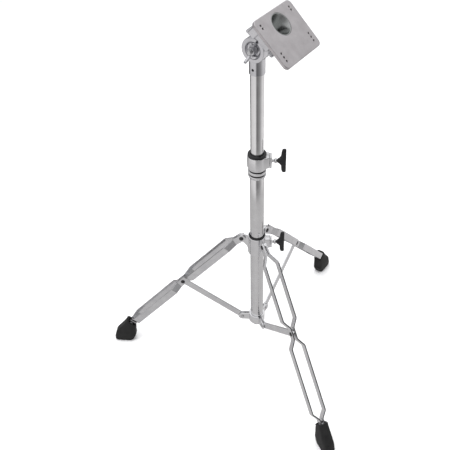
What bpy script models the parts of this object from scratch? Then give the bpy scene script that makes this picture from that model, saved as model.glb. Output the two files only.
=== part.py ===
"""Folding tripod stand with a sliding upper tube and a tilting mounting plate.

Metres, +Z up. The floor is z = 0 and the finished model is centred on its own box.
Local frames used below:
  column   origin on the tube axis at floor level
  leg      X radial, Y sideways, Z up, one frame turned to each leg's azimuth
  tilter   X the way the plate faces, Y the tilt axis, Z up
  arm      X normal to the plate, Y the tilt axis, Z up the plate
"""

from math import atan2, cos, degrees, hypot, pi, radians, sin

import bmesh
import bpy
from mathutils import Matrix, Vector

MM = 0.001
ROUND_STEPS = 32  # sides of a tube or a collar
SMALL_STEPS = 16  # sides of a pin, a screw or a drilled hole
SMOOTH_ANGLE = radians(35)
GAP = 0.3 * MM  # clearance between pieces that touch
WELD_GAP = 0.004 * MM  # joins the near-duplicate points a Boolean leaves

# Column
BASE_RADIUS, BASE_WALL = 14.3 * MM, 1.3 * MM
BASE_BOTTOM, BASE_TOP = 87 * MM, 533 * MM
UPPER_RADIUS, UPPER_WALL = 12.7 * MM, 1.2 * MM
UPPER_BOTTOM, UPPER_TOP = 352 * MM, 740 * MM

# Height clamp, fixed on the top of the base tube
CLAMP_BOTTOM, CLAMP_SHOULDER, CLAMP_TOP = 502 * MM, 527 * MM, 552 * MM
CLAMP_RADIUS, CLAMP_NECK_RADIUS = 19.2 * MM, 17.8 * MM
CLAMP_BOLT_HEIGHT = 539 * MM
BUSHING_RADIUS = 16.6 * MM
BUSHING_TOP = 556.6 * MM
BUSHING_RING = 18.2 * MM

# Fold linkage: leg pivot on the collar, waist where the strut meets the leg, strut pivot on the bracket
LEGS = (("left", 176.67), ("back", 56.67), ("front", -63.33))
LEG_PIVOT_RADIUS, LEG_PIVOT_HEIGHT = 32.9 * MM, 342.3 * MM
WAIST_RADIUS, WAIST_HEIGHT = 167.2 * MM, 206.8 * MM
STRUT_PIVOT_RADIUS, STRUT_PIVOT_HEIGHT = 33.8 * MM, 100.1 * MM
BEND_RADIUS, BEND_HEIGHT = 66 * MM, 316.9 * MM  # where the leg turns a little steeper
BEND_AT = hypot(BEND_RADIUS - LEG_PIVOT_RADIUS, LEG_PIVOT_HEIGHT - BEND_HEIGHT)
WAIST_AT = BEND_AT + hypot(WAIST_RADIUS - BEND_RADIUS, BEND_HEIGHT - WAIST_HEIGHT)

# Leg strips: pairs of flat bars, pinched together at pivot, waist and foot
STRIP_HALF_WIDTH, STRIP_THICKNESS = 8.0 * MM, 3.2 * MM
STRIP_EDGE = 0.5 * MM
PINCH_OUTER, SPREAD_OUTER = 5.1 * MM, 16.6 * MM
STRIP_TOP, STRIP_END = -8.2 * MM, 403 * MM  # distances from the leg pivot
FOOT_PIN_AT = 394 * MM
PINCHES = (  # centre, half length of the pinch, length of the bend on each side
    (0 * MM, 15 * MM, 27 * MM),
    (WAIST_AT, 10 * MM, 22 * MM),
    (FOOT_PIN_AT, 10 * MM, 19 * MM),
)

# Struts, bracket, pins
STRUT_HALF_WIDTH, STRUT_THICKNESS = 7.45 * MM, 3.2 * MM
BRACKET_BOTTOM, BRACKET_TOP, BRACKET_RADIUS = 89.4 * MM, 112 * MM, 18.2 * MM
BRACKET_EAR_INNER, BRACKET_EAR_OUTER = 2.0 * MM, 4.6 * MM
PIN_RADIUS, PIN_HEAD_RADIUS, PIN_HEAD_THICKNESS = 3.0 * MM, 4.6 * MM, 1.4 * MM
FOOT_PIN_RADIUS = 2.5 * MM

# Leg collar
COLLAR_BOTTOM, COLLAR_TOP, COLLAR_RADIUS = 305 * MM, 350 * MM, 19.0 * MM
COLLAR_BORE = 16.6 * MM
COLLAR_EAR_THICKNESS = 3.2 * MM
COLLAR_BOLT_HEIGHT = 332 * MM

# Wing bolts of the two clamps
BOLT_SHANK_RADIUS = 3.0 * MM
BOLT_HUB_RADIUS = 5.4 * MM
WING_REACH = 26.2 * MM

# Foot: sections down the rubber boot, in the leg frame
FOOT_SECTIONS = (  # radius, height, tilt in degrees, half length, half width, all in mm
    (303.5, 61.0, 42.6, 12.8, 10.3),
    (307.5, 50.0, 36, 15.5, 11.4),
    (313.0, 38.0, 27, 18.5, 12.3),
    (320.0, 24.0, 14, 24.2, 13.0),
    (325.0, 10.0, 4, 24.0, 13.2),
    (326.5, 3.2, 0, 22.5, 12.2),
    (326.5, 0.0, 0, 20.0, 10.0),
)
FOOT_POCKET_HALF = (9.0 * MM, 7.2 * MM)
FOOT_POCKET_DEPTH = 17 * MM

# Tilter
TILT_HEIGHT = 769 * MM
PLATE_FACING = -32.5  # azimuth, degrees
PLATE_ELEVATION = 47.3  # of the plate's normal, degrees
SLEEVE_BOTTOM, SLEEVE_RADIUS = 722 * MM, 14.4 * MM
DISC_RADIUS = 22.5 * MM
DISC_NEAR, DISC_FAR = -14.8 * MM, -1.6 * MM
ARM_DISC_FAR = 10.5 * MM
PIVOT_BOLT_RADIUS = 3.9 * MM
SET_SCREW_HEIGHT = 733 * MM

# Arm neck, plate and recess, in the arm frame
NECK_HALF_WIDTH = 20 * MM
PLATE_FACE, PLATE_DEPTH, PLATE_SHEET = 69 * MM, 6 * MM, 2.5 * MM
PLATE_HALF_WIDTH, PLATE_HALF_HEIGHT = 55.8 * MM, 45.6 * MM
PLATE_CENTRE = -17.2 * MM
PLATE_CORNER, PLATE_RIM = 9 * MM, 2 * MM
PLATE_HOLE_RADIUS = 2.1 * MM
PLATE_HOLE_COLUMN = 44 * MM
PLATE_HOLE_ROWS = (34.2 * MM, 28.4 * MM, -19 * MM, -26.2 * MM, -33.4 * MM)
RECESS_CENTRE = 1.4 * MM
RECESS_MOUTH, RECESS_FLOOR_RADIUS, RECESS_DEPTH = 20.4 * MM, 8.5 * MM, 26 * MM
RECESS_FLANGE = 22.6 * MM
RECESS_WALL = 1.4 * MM
RECESS_SEAT = 1.1 * MM  # how deep the flange is let into the plate

ALONG_X = Matrix.Rotation(radians(90), 4, "Y")
ALONG_Y = Matrix.Rotation(radians(-90), 4, "X")


def clear_scene():
    for item in list(bpy.data.objects):
        bpy.data.objects.remove(item, do_unlink=True)


def material(name, colour, metallic, roughness):
    made = bpy.data.materials.new(name)
    made.use_nodes = True
    shader = made.node_tree.nodes["Principled BSDF"]
    shader.inputs["Base Color"].default_value = (*colour, 1)
    shader.inputs["Metallic"].default_value = metallic
    shader.inputs["Roughness"].default_value = roughness
    return made


def empty(name, parent=None, matrix=None):
    """A frame that pieces are parented to; a moving piece's frame is on its joint's axis."""
    made = bpy.data.objects.new(name, None)
    made.empty_display_size = 0.02
    bpy.context.scene.collection.objects.link(made)
    made.parent = parent
    if matrix is not None:
        made.matrix_local = matrix
    return made


def piece(name, bm, finish, parent):
    bm.normal_update()
    bmesh.ops.recalc_face_normals(bm, faces=bm.faces)
    if bm.calc_volume(signed=True) < 0:
        bmesh.ops.reverse_faces(bm, faces=bm.faces)
    mesh = bpy.data.meshes.new(name)
    bm.to_mesh(mesh)
    bm.free()
    mesh.materials.append(finish)
    mesh.shade_smooth()
    mesh.set_sharp_from_angle(angle=SMOOTH_ANGLE)
    made = bpy.data.objects.new(name, mesh)
    bpy.context.scene.collection.objects.link(made)
    made.parent = parent
    return made


def combine(target, other, operation):
    """Joins the helper to the target, or cuts it away, and hides the helper."""
    modifier = target.modifiers.new(other.name, "BOOLEAN")
    modifier.operation = operation
    modifier.solver = "EXACT"
    modifier.object = other
    weld = target.modifiers.new(other.name + "_weld", "WELD")
    weld.merge_threshold = WELD_GAP
    other.hide_render = True
    other.display_type = "WIRE"


def helper(name, bm, parent):
    return piece("helper_" + name, bm, FINISH["steel"], parent)


def turned(profile, steps=ROUND_STEPS, turn=None, at=(0, 0, 0)):
    """A lathe shape about Z from (radius, height) points; it is closed on the axis or as a ring."""
    bm = bmesh.new()
    points = [bm.verts.new((radius, 0, height)) for radius, height in profile]
    edges = [bm.edges.new(pair) for pair in zip(points, points[1:])]
    if profile[0][0] > 0:
        edges.append(bm.edges.new((points[-1], points[0])))
    bmesh.ops.spin(
        bm, geom=points + edges, cent=(0, 0, 0), axis=(0, 0, 1), angle=2 * pi, steps=steps, use_merge=True
    )
    bmesh.ops.remove_doubles(bm, verts=bm.verts, dist=0.001 * MM)
    bm.transform(Matrix.Translation(at) @ (turn or Matrix.Identity(4)))
    return bm


def rod(radius, start, end, steps=SMALL_STEPS, turn=None, at=(0, 0, 0)):
    return turned(((0, start), (radius, start), (radius, end), (0, end)), steps, turn, at)


def tube(inner, outer, bottom, top, steps=ROUND_STEPS):
    return turned(((inner, bottom), (outer, bottom), (outer, top), (inner, top)), steps)


def prism(outline, start, end, bevel=0.0):
    """An (x, z) outline extruded along Y from start to end, with its rims bevelled."""
    bm = bmesh.new()
    face = bm.faces.new([bm.verts.new((x, start, z)) for x, z in outline])
    grown = bmesh.ops.extrude_face_region(bm, geom=[face])
    moved = [item for item in grown["geom"] if isinstance(item, bmesh.types.BMVert)]
    bmesh.ops.translate(bm, verts=moved, vec=(0, end - start, 0))
    if bevel:
        rims = [e for e in bm.edges if abs(e.verts[0].co.y - e.verts[1].co.y) < 1e-7]
        bmesh.ops.bevel(bm, geom=rims, offset=bevel, segments=2, profile=0.5, affect="EDGES")
    return bm


def block(x, y, z, bevel=0.0):
    """A box from (low, high) pairs, with every edge bevelled."""
    bm = prism([(x[0], z[0]), (x[1], z[0]), (x[1], z[1]), (x[0], z[1])], y[0], y[1])
    if bevel:
        bmesh.ops.bevel(bm, geom=bm.edges[:], offset=bevel, segments=2, profile=0.5, affect="EDGES")
    return bm


def arc(centre, radius, start, end, count):
    """Points on a circle from the start angle to the end angle, in degrees."""
    angles = [radians(start + (end - start) * i / (count - 1)) for i in range(count)]
    return [(centre[0] + radius * cos(a), centre[1] + radius * sin(a)) for a in angles]


def rounded_rectangle(half_x, half_z, radius, count=5):
    corners = ((1, 1, 0), (-1, 1, 90), (-1, -1, 180), (1, -1, 270))
    outline = []
    for sx, sz, start in corners:
        centre = (sx * (half_x - radius), sz * (half_z - radius))
        outline += arc(centre, radius, start, start + 90, count)
    return outline


def lofted(rings):
    """A skin through rings of equal length, with flat caps."""
    bm = bmesh.new()
    made = [[bm.verts.new(point) for point in ring] for ring in rings]
    for low, high in zip(made, made[1:]):
        for i, corner in enumerate(low):
            following = (i + 1) % len(low)
            bm.faces.new((corner, low[following], high[following], high[i]))
    bm.faces.new(made[0])
    bm.faces.new(made[-1])
    return bm


def oval(centre, across, along, half_across, half_along, count=16, power=0.62):
    """A rounded-rectangle ring (a superellipse) around the centre."""
    ring = []
    for i in range(count):
        angle = 2 * pi * i / count
        c, s = cos(angle), sin(angle)
        u = half_across * abs(c) ** power * (1 if c > 0 else -1)
        v = half_along * abs(s) ** power * (1 if s > 0 else -1)
        ring.append(centre + across * u + along * v)
    return ring


def smooth(t):
    t = min(max(t, 0), 1)
    return t * t * (3 - 2 * t)


# ---------------------------------------------------------------- column


def base_column(stand):
    piece("base_tube", tube(BASE_RADIUS - BASE_WALL, BASE_RADIUS, BASE_BOTTOM, BASE_TOP), FINISH["chrome"], stand)
    bore = BASE_RADIUS - BASE_WALL - GAP
    foot = BASE_BOTTOM - GAP
    profile = (
        (0, foot - 3 * MM),
        (BASE_RADIUS - 1.5 * MM, foot - 3 * MM),
        (BASE_RADIUS, foot - 1.5 * MM),
        (BASE_RADIUS, foot),
        (bore, foot),
        (bore, foot + 14 * MM),
        (0, foot + 14 * MM),
    )
    piece("base_tube_plug", turned(profile), FINISH["nylon"], stand)


def height_clamp(stand):
    neck, groove = CLAMP_NECK_RADIUS, CLAMP_NECK_RADIUS - 0.9 * MM
    outer = [(0, CLAMP_BOTTOM), (BASE_RADIUS + 1.0 * MM, CLAMP_BOTTOM), (neck, CLAMP_BOTTOM + 5 * MM)]
    for centre in (511 * MM, 520.5 * MM):
        outer += [(neck, centre - 1.3 * MM), (groove, centre - 0.7 * MM)]
        outer += [(groove, centre + 0.7 * MM), (neck, centre + 1.3 * MM)]
    outer += [
        (neck, CLAMP_SHOULDER - 1.2 * MM),
        (CLAMP_RADIUS, CLAMP_SHOULDER + 0.6 * MM),
        (CLAMP_RADIUS, CLAMP_TOP - 0.8 * MM),
        (CLAMP_RADIUS - 0.8 * MM, CLAMP_TOP),
        (0, CLAMP_TOP),
    ]
    body = piece("height_clamp_body", turned(outer), FINISH["chrome"], stand)
    lug = block((4 * MM, 24 * MM), (-10 * MM, 10 * MM), (CLAMP_SHOULDER + 0.6 * MM, CLAMP_TOP - 0.2 * MM), 1.5 * MM)
    combine(body, helper("clamp_lug", lug, stand), "UNION")
    bore = (
        (0, CLAMP_BOTTOM - 5 * MM),
        (BASE_RADIUS + GAP, CLAMP_BOTTOM - 5 * MM),
        (BASE_RADIUS + GAP, BASE_TOP + GAP),
        (BUSHING_RADIUS + GAP, BASE_TOP + GAP),
        (BUSHING_RADIUS + GAP, CLAMP_TOP + 5 * MM),
        (0, CLAMP_TOP + 5 * MM),
    )
    combine(body, helper("clamp_bore", turned(bore), stand), "DIFFERENCE")
    hole = bolt_hole("clamp_bolt_hole", CLAMP_BOLT_HEIGHT, stand)
    combine(body, hole, "DIFFERENCE")

    inner = UPPER_RADIUS + GAP
    sleeve_bottom, flange = BASE_TOP + 2 * GAP, CLAMP_TOP + GAP
    bushing = (
        (inner, sleeve_bottom),
        (BUSHING_RADIUS, sleeve_bottom),
        (BUSHING_RADIUS, flange),
        (BUSHING_RING, flange),
        (BUSHING_RING, BUSHING_TOP - 1.2 * MM),
        (BUSHING_RING - 1.2 * MM, BUSHING_TOP),
        (inner, BUSHING_TOP),
    )
    piece("height_clamp_bushing", turned(bushing), FINISH["nylon"], stand)
    nut = block((24.3 * MM, 28.2 * MM), (-9 * MM, 9 * MM), (527 * MM, 551.6 * MM), 1 * MM)
    combine(piece("height_clamp_nut", nut, FINISH["chrome"], stand), hole, "DIFFERENCE")


def bolt_hole(name, height, parent):
    drill = rod(BOLT_SHANK_RADIUS + 0.4 * MM, 8 * MM, 45 * MM, turn=ALONG_X, at=(0, 0, height))
    return helper(name, drill, parent)


def upper_column(stand):
    slider = empty("upper_tube_slide", stand, Matrix.Translation((0, 0, UPPER_BOTTOM)))
    length = UPPER_TOP - UPPER_BOTTOM
    piece("upper_tube", tube(UPPER_RADIUS - UPPER_WALL, UPPER_RADIUS, 0, length), FINISH["chrome"], slider)
    bore = UPPER_RADIUS - UPPER_WALL - GAP
    profile = ((0, -9 * MM), (UPPER_RADIUS - 1 * MM, -9 * MM), (UPPER_RADIUS, -8 * MM), (UPPER_RADIUS, -GAP))
    profile += ((bore, -GAP), (bore, 12 * MM), (0, 12 * MM))
    piece("upper_tube_plug", turned(profile), FINISH["nylon"], slider)
    return slider


# ---------------------------------------------------------------- wing bolts


def wing_bolt(name, parent, height, tip, hub):
    """A clamp bolt along +X with a round boss, and the moulded T handle on its end."""
    frame = empty(name + "_axis", parent, Matrix.Translation((0, 0, height)))
    cross = hub + 17 * MM
    end = cross + 1 * MM
    profile = (
        (0, tip),
        (BOLT_SHANK_RADIUS - 0.6 * MM, tip),
        (BOLT_SHANK_RADIUS, tip + 0.8 * MM),
        (BOLT_SHANK_RADIUS, hub - GAP),
        (BOLT_HUB_RADIUS - 1.4 * MM, hub),
        (BOLT_HUB_RADIUS - 0.2 * MM, hub + 1.2 * MM),
        (BOLT_HUB_RADIUS, hub + 2.8 * MM),
        (BOLT_HUB_RADIUS - 0.6 * MM, hub + 4.6 * MM),
        (BOLT_SHANK_RADIUS + 0.6 * MM, hub + 6 * MM),
        (BOLT_SHANK_RADIUS, hub + 6.4 * MM),
        (BOLT_SHANK_RADIUS, end),
        (0, end),
    )
    piece(name, turned(profile, SMALL_STEPS, ALONG_X), FINISH["chrome"], frame)
    handle = piece(name + "_handle", wing_mesh(cross), FINISH["nylon"], frame)
    neck = ((0, hub + 6.8 * MM), (4.7 * MM, hub + 6.8 * MM), (5.2 * MM, hub + 7.6 * MM), (5.6 * MM, cross - 3 * MM), (0, cross))
    combine(handle, helper(name + "_neck", turned(neck, SMALL_STEPS, ALONG_X), frame), "UNION")
    socket = rod(BOLT_SHANK_RADIUS + GAP, hub, end + GAP, turn=ALONG_X)
    combine(handle, helper(name + "_socket", socket, frame), "DIFFERENCE")
    return frame


def wing_mesh(cross):
    """Two paddles with a straight outer face; their inner edge swells towards the boss."""
    rings = []
    outer = cross + 5.6 * MM
    half = ((0, 7.6, 4.9), (0.2, 6.9, 4.8), (0.38, 5.2, 4.4), (0.7, 4.7, 4.0), (0.9, 4.1, 3.5), (0.97, 3.2, 2.8), (1, 1.9, 1.7))
    for t, deep, wide in [(-t, d, w) for t, d, w in reversed(half[1:])] + list(half):
        shift = 0.9 * MM if abs(t) > 0.95 else 0
        centre = Vector((outer - shift - deep * MM, 0, t * WING_REACH))
        rings.append(oval(centre, Vector((1, 0, 0)), Vector((0, 1, 0)), deep * MM, wide * MM, 16, 0.72))
    return lofted(rings)


# ---------------------------------------------------------------- legs


def leg_matrix(azimuth, radius=0.0, height=0.0):
    return Matrix.Rotation(radians(azimuth), 4, "Z") @ Matrix.Translation((radius, 0, height))


def leg_path(distance):
    """The middle of the pair of strips this far from the leg pivot, and the unit vectors along and
    square to the leg there, relative to the pivot in the leg frame."""
    pivot = Vector((LEG_PIVOT_RADIUS, 0, LEG_PIVOT_HEIGHT))
    bend = Vector((BEND_RADIUS, 0, BEND_HEIGHT)) - pivot
    waist = Vector((WAIST_RADIUS, 0, WAIST_HEIGHT)) - pivot
    upper, lower = bend.normalized(), (waist - bend).normalized()
    centre = upper * distance if distance < BEND_AT else bend + lower * (distance - BEND_AT)
    along = upper.lerp(lower, min(max((distance - BEND_AT) / (4 * MM) + 0.5, 0), 1)).normalized()
    return centre, along, Vector((-along.z, 0, along.x))


def ramp(t, soft=0.22):
    """0 to 1 in a straight line with a short curve at each end."""
    t = min(max(t, 0), 1)
    speed = 1 / (1 - soft)
    if t < soft:
        return speed * t * t / (2 * soft)
    if t > 1 - soft:
        return 1 - speed * (1 - t) ** 2 / (2 * soft)
    return speed * (t - soft / 2)


def spread_share(distance):
    """0 where the two strips are pinched together, 1 where they stand apart."""
    return min(ramp((abs(distance - centre) - half) / bend) for centre, half, bend in PINCHES)


def strip_stations():
    """Distances along the leg: the ends, and closer together where it bends."""
    found = {STRIP_TOP, STRIP_TOP + 2 * MM, STRIP_TOP + 6 * MM, STRIP_END}
    for centre, half, bend in PINCHES:
        for side in (-1, 1):
            for t in (0, 0.11, 0.22, 0.5, 0.78, 0.89, 1):
                found.add(centre + side * (half + bend * t))
    return sorted(d for d in found if STRIP_TOP <= d <= STRIP_END)


def strip_mesh(side):
    """A flat bar with eased edges, on one side of the leg, relative to the leg pivot."""
    sideways = Vector((0, side, 0))
    step = 0.5 * MM
    rings = []
    for distance in strip_stations():
        centre, along, across = leg_path(distance)
        outer = PINCH_OUTER + (SPREAD_OUTER - PINCH_OUTER) * spread_share(distance)
        slope = (spread_share(distance + step) - spread_share(distance - step)) / (2 * step)
        slope *= SPREAD_OUTER - PINCH_OUTER
        inward = (along * slope - sideways).normalized()
        end = (distance - STRIP_TOP) / (6 * MM)
        half = STRIP_HALF_WIDTH * (1 if end >= 1 else 0.55 + 0.45 * (end * (2 - end)) ** 0.5)
        edge, thick = STRIP_EDGE, STRIP_THICKNESS
        outline = [(-half, thick - edge), (-half, edge), (-half + edge, 0), (half - edge, 0)]
        outline += [(half, edge), (half, thick - edge), (half - edge, thick), (-half + edge, thick)]
        middle = centre + sideways * outer
        rings.append([middle + across * u + inward * v for u, v in outline])
    return lofted(rings)


def pin_mesh(radius, head_radius, inside, head=PIN_HEAD_THICKNESS):
    """A rivet along Y, with a head beyond the distance inside on both sides."""
    far = inside + head
    half = [(0, far), (head_radius * 0.6, far), (head_radius, far - head * 0.55), (head_radius, inside)]
    half.append((radius, inside))
    profile = half + [(r, -y) for r, y in reversed(half)]
    return turned([(r, -y) for r, y in profile], SMALL_STEPS, ALONG_Y)


def stud_mesh(side):
    """Half of the waist rivet: its head outside one strip, its end short of the strut."""
    near, start = 2.1 * MM, PINCH_OUTER + GAP
    far = start + PIN_HEAD_THICKNESS
    profile = (
        (0, near),
        (PIN_RADIUS, near),
        (PIN_RADIUS, start),
        (PIN_HEAD_RADIUS, start),
        (PIN_HEAD_RADIUS, far - 0.8 * MM),
        (PIN_HEAD_RADIUS * 0.6, far),
        (0, far),
    )
    bm = turned(profile, SMALL_STEPS, ALONG_Y)
    if side < 0:
        bm.transform(Matrix.Rotation(pi, 4, "Z"))
    return bm


def foot_mesh():
    """The rubber boot, relative to the leg pivot, with the pocket that the strips stand in."""
    pivot = Vector((LEG_PIVOT_RADIUS, 0, LEG_PIVOT_HEIGHT))
    sideways = Vector((0, 1, 0))
    rings = []
    for radius, height, tilt, half_length, half_width in FOOT_SECTIONS:
        centre = Vector((radius * MM, 0, height * MM)) - pivot
        leaning = Vector((cos(radians(tilt)), 0, sin(radians(tilt))))
        rings.append(oval(centre, leaning, sideways, half_length * MM, half_width * MM, power=0.5))
    centre, along, leaning = leg_path(FOOT_PIN_AT)
    mouth = Vector((FOOT_SECTIONS[0][0] * MM, 0, FOOT_SECTIONS[0][1] * MM)) - pivot
    mouth = centre + along * (mouth - centre).dot(along)
    pocket = [
        oval(mouth + along * depth, leaning, sideways, *FOOT_POCKET_HALF, power=0.3)
        for depth in (0, FOOT_POCKET_DEPTH)
    ]
    return lofted(list(reversed(pocket)) + rings)


def leg(name, azimuth, collar):
    """The pair of strips, the foot and the rivets of one leg, hinged on the collar."""
    hinge = empty(f"leg_{name}_hinge", collar, leg_matrix(azimuth, LEG_PIVOT_RADIUS, LEG_PIVOT_HEIGHT))
    waist, foot_pin = leg_path(WAIST_AT)[0], leg_path(FOOT_PIN_AT)[0]
    drills = [
        helper(f"leg_{name}_{label}_drill", rod(radius + GAP, -12 * MM, 12 * MM, turn=ALONG_Y, at=at), hinge)
        for label, radius, at in (
            ("pivot", PIN_RADIUS, Vector()),
            ("waist", PIN_RADIUS, waist),
            ("foot", FOOT_PIN_RADIUS, foot_pin),
        )
    ]
    for label, side in (("outer", 1), ("inner", -1)):
        strip = piece(f"leg_{name}_{label}_strip", strip_mesh(side), FINISH["chrome"], hinge)
        for drill in drills:
            combine(strip, drill, "DIFFERENCE")
        stud = stud_mesh(side)
        stud.transform(Matrix.Translation(waist))
        piece(f"leg_{name}_{label}_waist_rivet", stud, FINISH["steel"], hinge)
    piece(f"leg_{name}_foot", foot_mesh(), FINISH["rubber"], hinge)
    pin = pin_mesh(FOOT_PIN_RADIUS, 4.0 * MM, PINCH_OUTER + GAP, 1.1 * MM)
    pin.transform(Matrix.Translation(foot_pin))
    piece(f"leg_{name}_foot_rivet", pin, FINISH["steel"], hinge)
    return drills[0]


def collar_ear_outline():
    """A gusset from the collar ring out to a round end about the leg pivot."""
    pivot = (LEG_PIVOT_RADIUS, LEG_PIVOT_HEIGHT)
    low = (17.5 * MM, COLLAR_BOTTOM + 2.5 * MM)
    outline = [(17.5 * MM, COLLAR_TOP - 4 * MM), (25 * MM, COLLAR_TOP + 0.6 * MM)]
    outline += arc(pivot, 9.6 * MM, 95, -65, 9)
    end = outline[-1]
    bow = 5 * MM  # the lower edge is hollow
    for i in range(1, 5):
        t = i / 5
        hollow = bow * 4 * t * (1 - t)
        outline.append(
            (end[0] + (low[0] - end[0]) * t - hollow * 0.5, end[1] + (low[1] - end[1]) * t + hollow * 0.8)
        )
    outline.append(low)
    return outline


def leg_collar(stand):
    """The sliding collar, its bushing and bolt, and the legs that hang on it."""
    collar = empty("leg_collar_slide", stand)
    ring = (
        (0, COLLAR_BOTTOM),
        (COLLAR_RADIUS - 0.8 * MM, COLLAR_BOTTOM),
        (COLLAR_RADIUS, COLLAR_BOTTOM + 0.8 * MM),
        (COLLAR_RADIUS, COLLAR_TOP - 0.8 * MM),
        (COLLAR_RADIUS - 0.8 * MM, COLLAR_TOP),
        (0, COLLAR_TOP),
    )
    body = piece("leg_collar", turned(ring), FINISH["chrome"], collar)
    lug = block((6 * MM, 28 * MM), (-8.6 * MM, 8.6 * MM), (321 * MM, 345 * MM), 1.5 * MM)
    combine(body, helper("collar_lug", lug, collar), "UNION")
    half = COLLAR_EAR_THICKNESS / 2
    for name, azimuth in LEGS:
        ear = prism(collar_ear_outline(), -half, half, 0.4 * MM)
        ear.transform(leg_matrix(azimuth))
        combine(body, helper(f"collar_ear_{name}", ear, collar), "UNION")
    bore = rod(COLLAR_BORE, COLLAR_BOTTOM - 5 * MM, COLLAR_TOP + 5 * MM, ROUND_STEPS)
    combine(body, helper("collar_bore", bore, collar), "DIFFERENCE")
    hole = bolt_hole("collar_bolt_hole", COLLAR_BOLT_HEIGHT, collar)
    combine(body, hole, "DIFFERENCE")
    for name, azimuth in LEGS:
        combine(body, leg(name, azimuth, collar), "DIFFERENCE")
        pin = pin_mesh(PIN_RADIUS, PIN_HEAD_RADIUS, PINCH_OUTER + GAP)
        pin.transform(leg_matrix(azimuth, LEG_PIVOT_RADIUS, LEG_PIVOT_HEIGHT))
        piece(f"leg_{name}_pivot_pin", pin, FINISH["steel"], collar)

    inner, sleeve = BASE_RADIUS + 0.4 * MM, COLLAR_BORE - GAP
    flange = COLLAR_TOP + GAP
    bushing = ((inner, COLLAR_BOTTOM + 1 * MM), (sleeve, COLLAR_BOTTOM + 1 * MM), (sleeve, flange))
    rim = COLLAR_RADIUS - 1.7 * MM
    bushing += ((rim, flange), (rim, flange + 1 * MM), (rim - 0.8 * MM, flange + 1.8 * MM), (inner, flange + 1.8 * MM))
    piece("leg_collar_bushing", turned(bushing), FINISH["nylon"], collar)
    nut = block((28.3 * MM, 31.6 * MM), (-7.6 * MM, 7.6 * MM), (322 * MM, 342.4 * MM), 0.9 * MM)
    combine(piece("leg_collar_nut", nut, FINISH["chrome"], collar), hole, "DIFFERENCE")
    wing_bolt("collar_wing_bolt", collar, COLLAR_BOLT_HEIGHT, COLLAR_BORE + GAP, 35.5 * MM)


# ---------------------------------------------------------------- bracket and struts


def bottom_bracket(stand):
    """The fixed three-armed clevis round the foot of the base tube."""
    ring = (
        (0, BRACKET_BOTTOM),
        (BRACKET_RADIUS - 1 * MM, BRACKET_BOTTOM),
        (BRACKET_RADIUS, BRACKET_BOTTOM + 1 * MM),
        (BRACKET_RADIUS, BRACKET_TOP - 1 * MM),
        (BRACKET_RADIUS - 1 * MM, BRACKET_TOP),
        (0, BRACKET_TOP),
    )
    body = piece("bottom_bracket", turned(ring), FINISH["chrome"], stand)
    pivot = (STRUT_PIVOT_RADIUS, STRUT_PIVOT_HEIGHT)
    root = 15.8 * MM
    outline = [(root, BRACKET_TOP - 1.6 * MM)] + arc(pivot, 9.2 * MM, 90, -90, 11) + [(root, BRACKET_BOTTOM + 1.6 * MM)]
    drills = []
    for name, azimuth in LEGS:
        for side in (-1, 1):
            faces = sorted((side * BRACKET_EAR_INNER, side * BRACKET_EAR_OUTER))
            ear = prism(outline, *faces, 0.5 * MM)
            ear.transform(leg_matrix(azimuth))
            combine(body, helper(f"bracket_ear_{name}_{'b' if side > 0 else 'a'}", ear, stand), "UNION")
        hinge = leg_matrix(azimuth, STRUT_PIVOT_RADIUS, STRUT_PIVOT_HEIGHT)
        drill = rod(PIN_RADIUS + GAP, -9 * MM, 9 * MM, turn=ALONG_Y)
        drill.transform(hinge)
        drills.append(helper(f"bracket_drill_{name}", drill, stand))
        pin = pin_mesh(PIN_RADIUS, PIN_HEAD_RADIUS - 0.4 * MM, BRACKET_EAR_OUTER + GAP)
        pin.transform(hinge)
        piece(f"strut_{name}_pivot_pin", pin, FINISH["steel"], stand)
    bore = rod(BASE_RADIUS + GAP, BRACKET_BOTTOM - 5 * MM, BRACKET_TOP + 5 * MM, ROUND_STEPS)
    combine(body, helper("bracket_bore", bore, stand), "DIFFERENCE")
    for drill in drills:
        combine(body, drill, "DIFFERENCE")


def strut(name, azimuth, stand):
    """A flat bar with round ends, from the bracket to the waist, relative to its lower pivot."""
    hinge = empty(f"strut_{name}_hinge", stand, leg_matrix(azimuth, STRUT_PIVOT_RADIUS, STRUT_PIVOT_HEIGHT))
    reach = Vector((WAIST_RADIUS - STRUT_PIVOT_RADIUS, 0, WAIST_HEIGHT - STRUT_PIVOT_HEIGHT))
    length = hypot(reach.x, reach.z)
    lift = degrees(atan2(reach.z, reach.x))
    outline = arc((0, 0), STRUT_HALF_WIDTH, 90, 270, 9) + arc((length, 0), STRUT_HALF_WIDTH, -90, 90, 9)
    half = STRUT_THICKNESS / 2
    bar = prism(outline, -half, half, 0.5 * MM)
    bar.transform(Matrix.Rotation(radians(-lift), 4, "Y"))
    body = piece(f"strut_{name}", bar, FINISH["chrome"], hinge)
    for label, at in (("lower", Vector()), ("upper", reach)):
        drill = rod(PIN_RADIUS + GAP, -9 * MM, 9 * MM, turn=ALONG_Y, at=at)
        combine(body, helper(f"strut_{name}_{label}_drill", drill, hinge), "DIFFERENCE")


# ---------------------------------------------------------------- tilter


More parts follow.
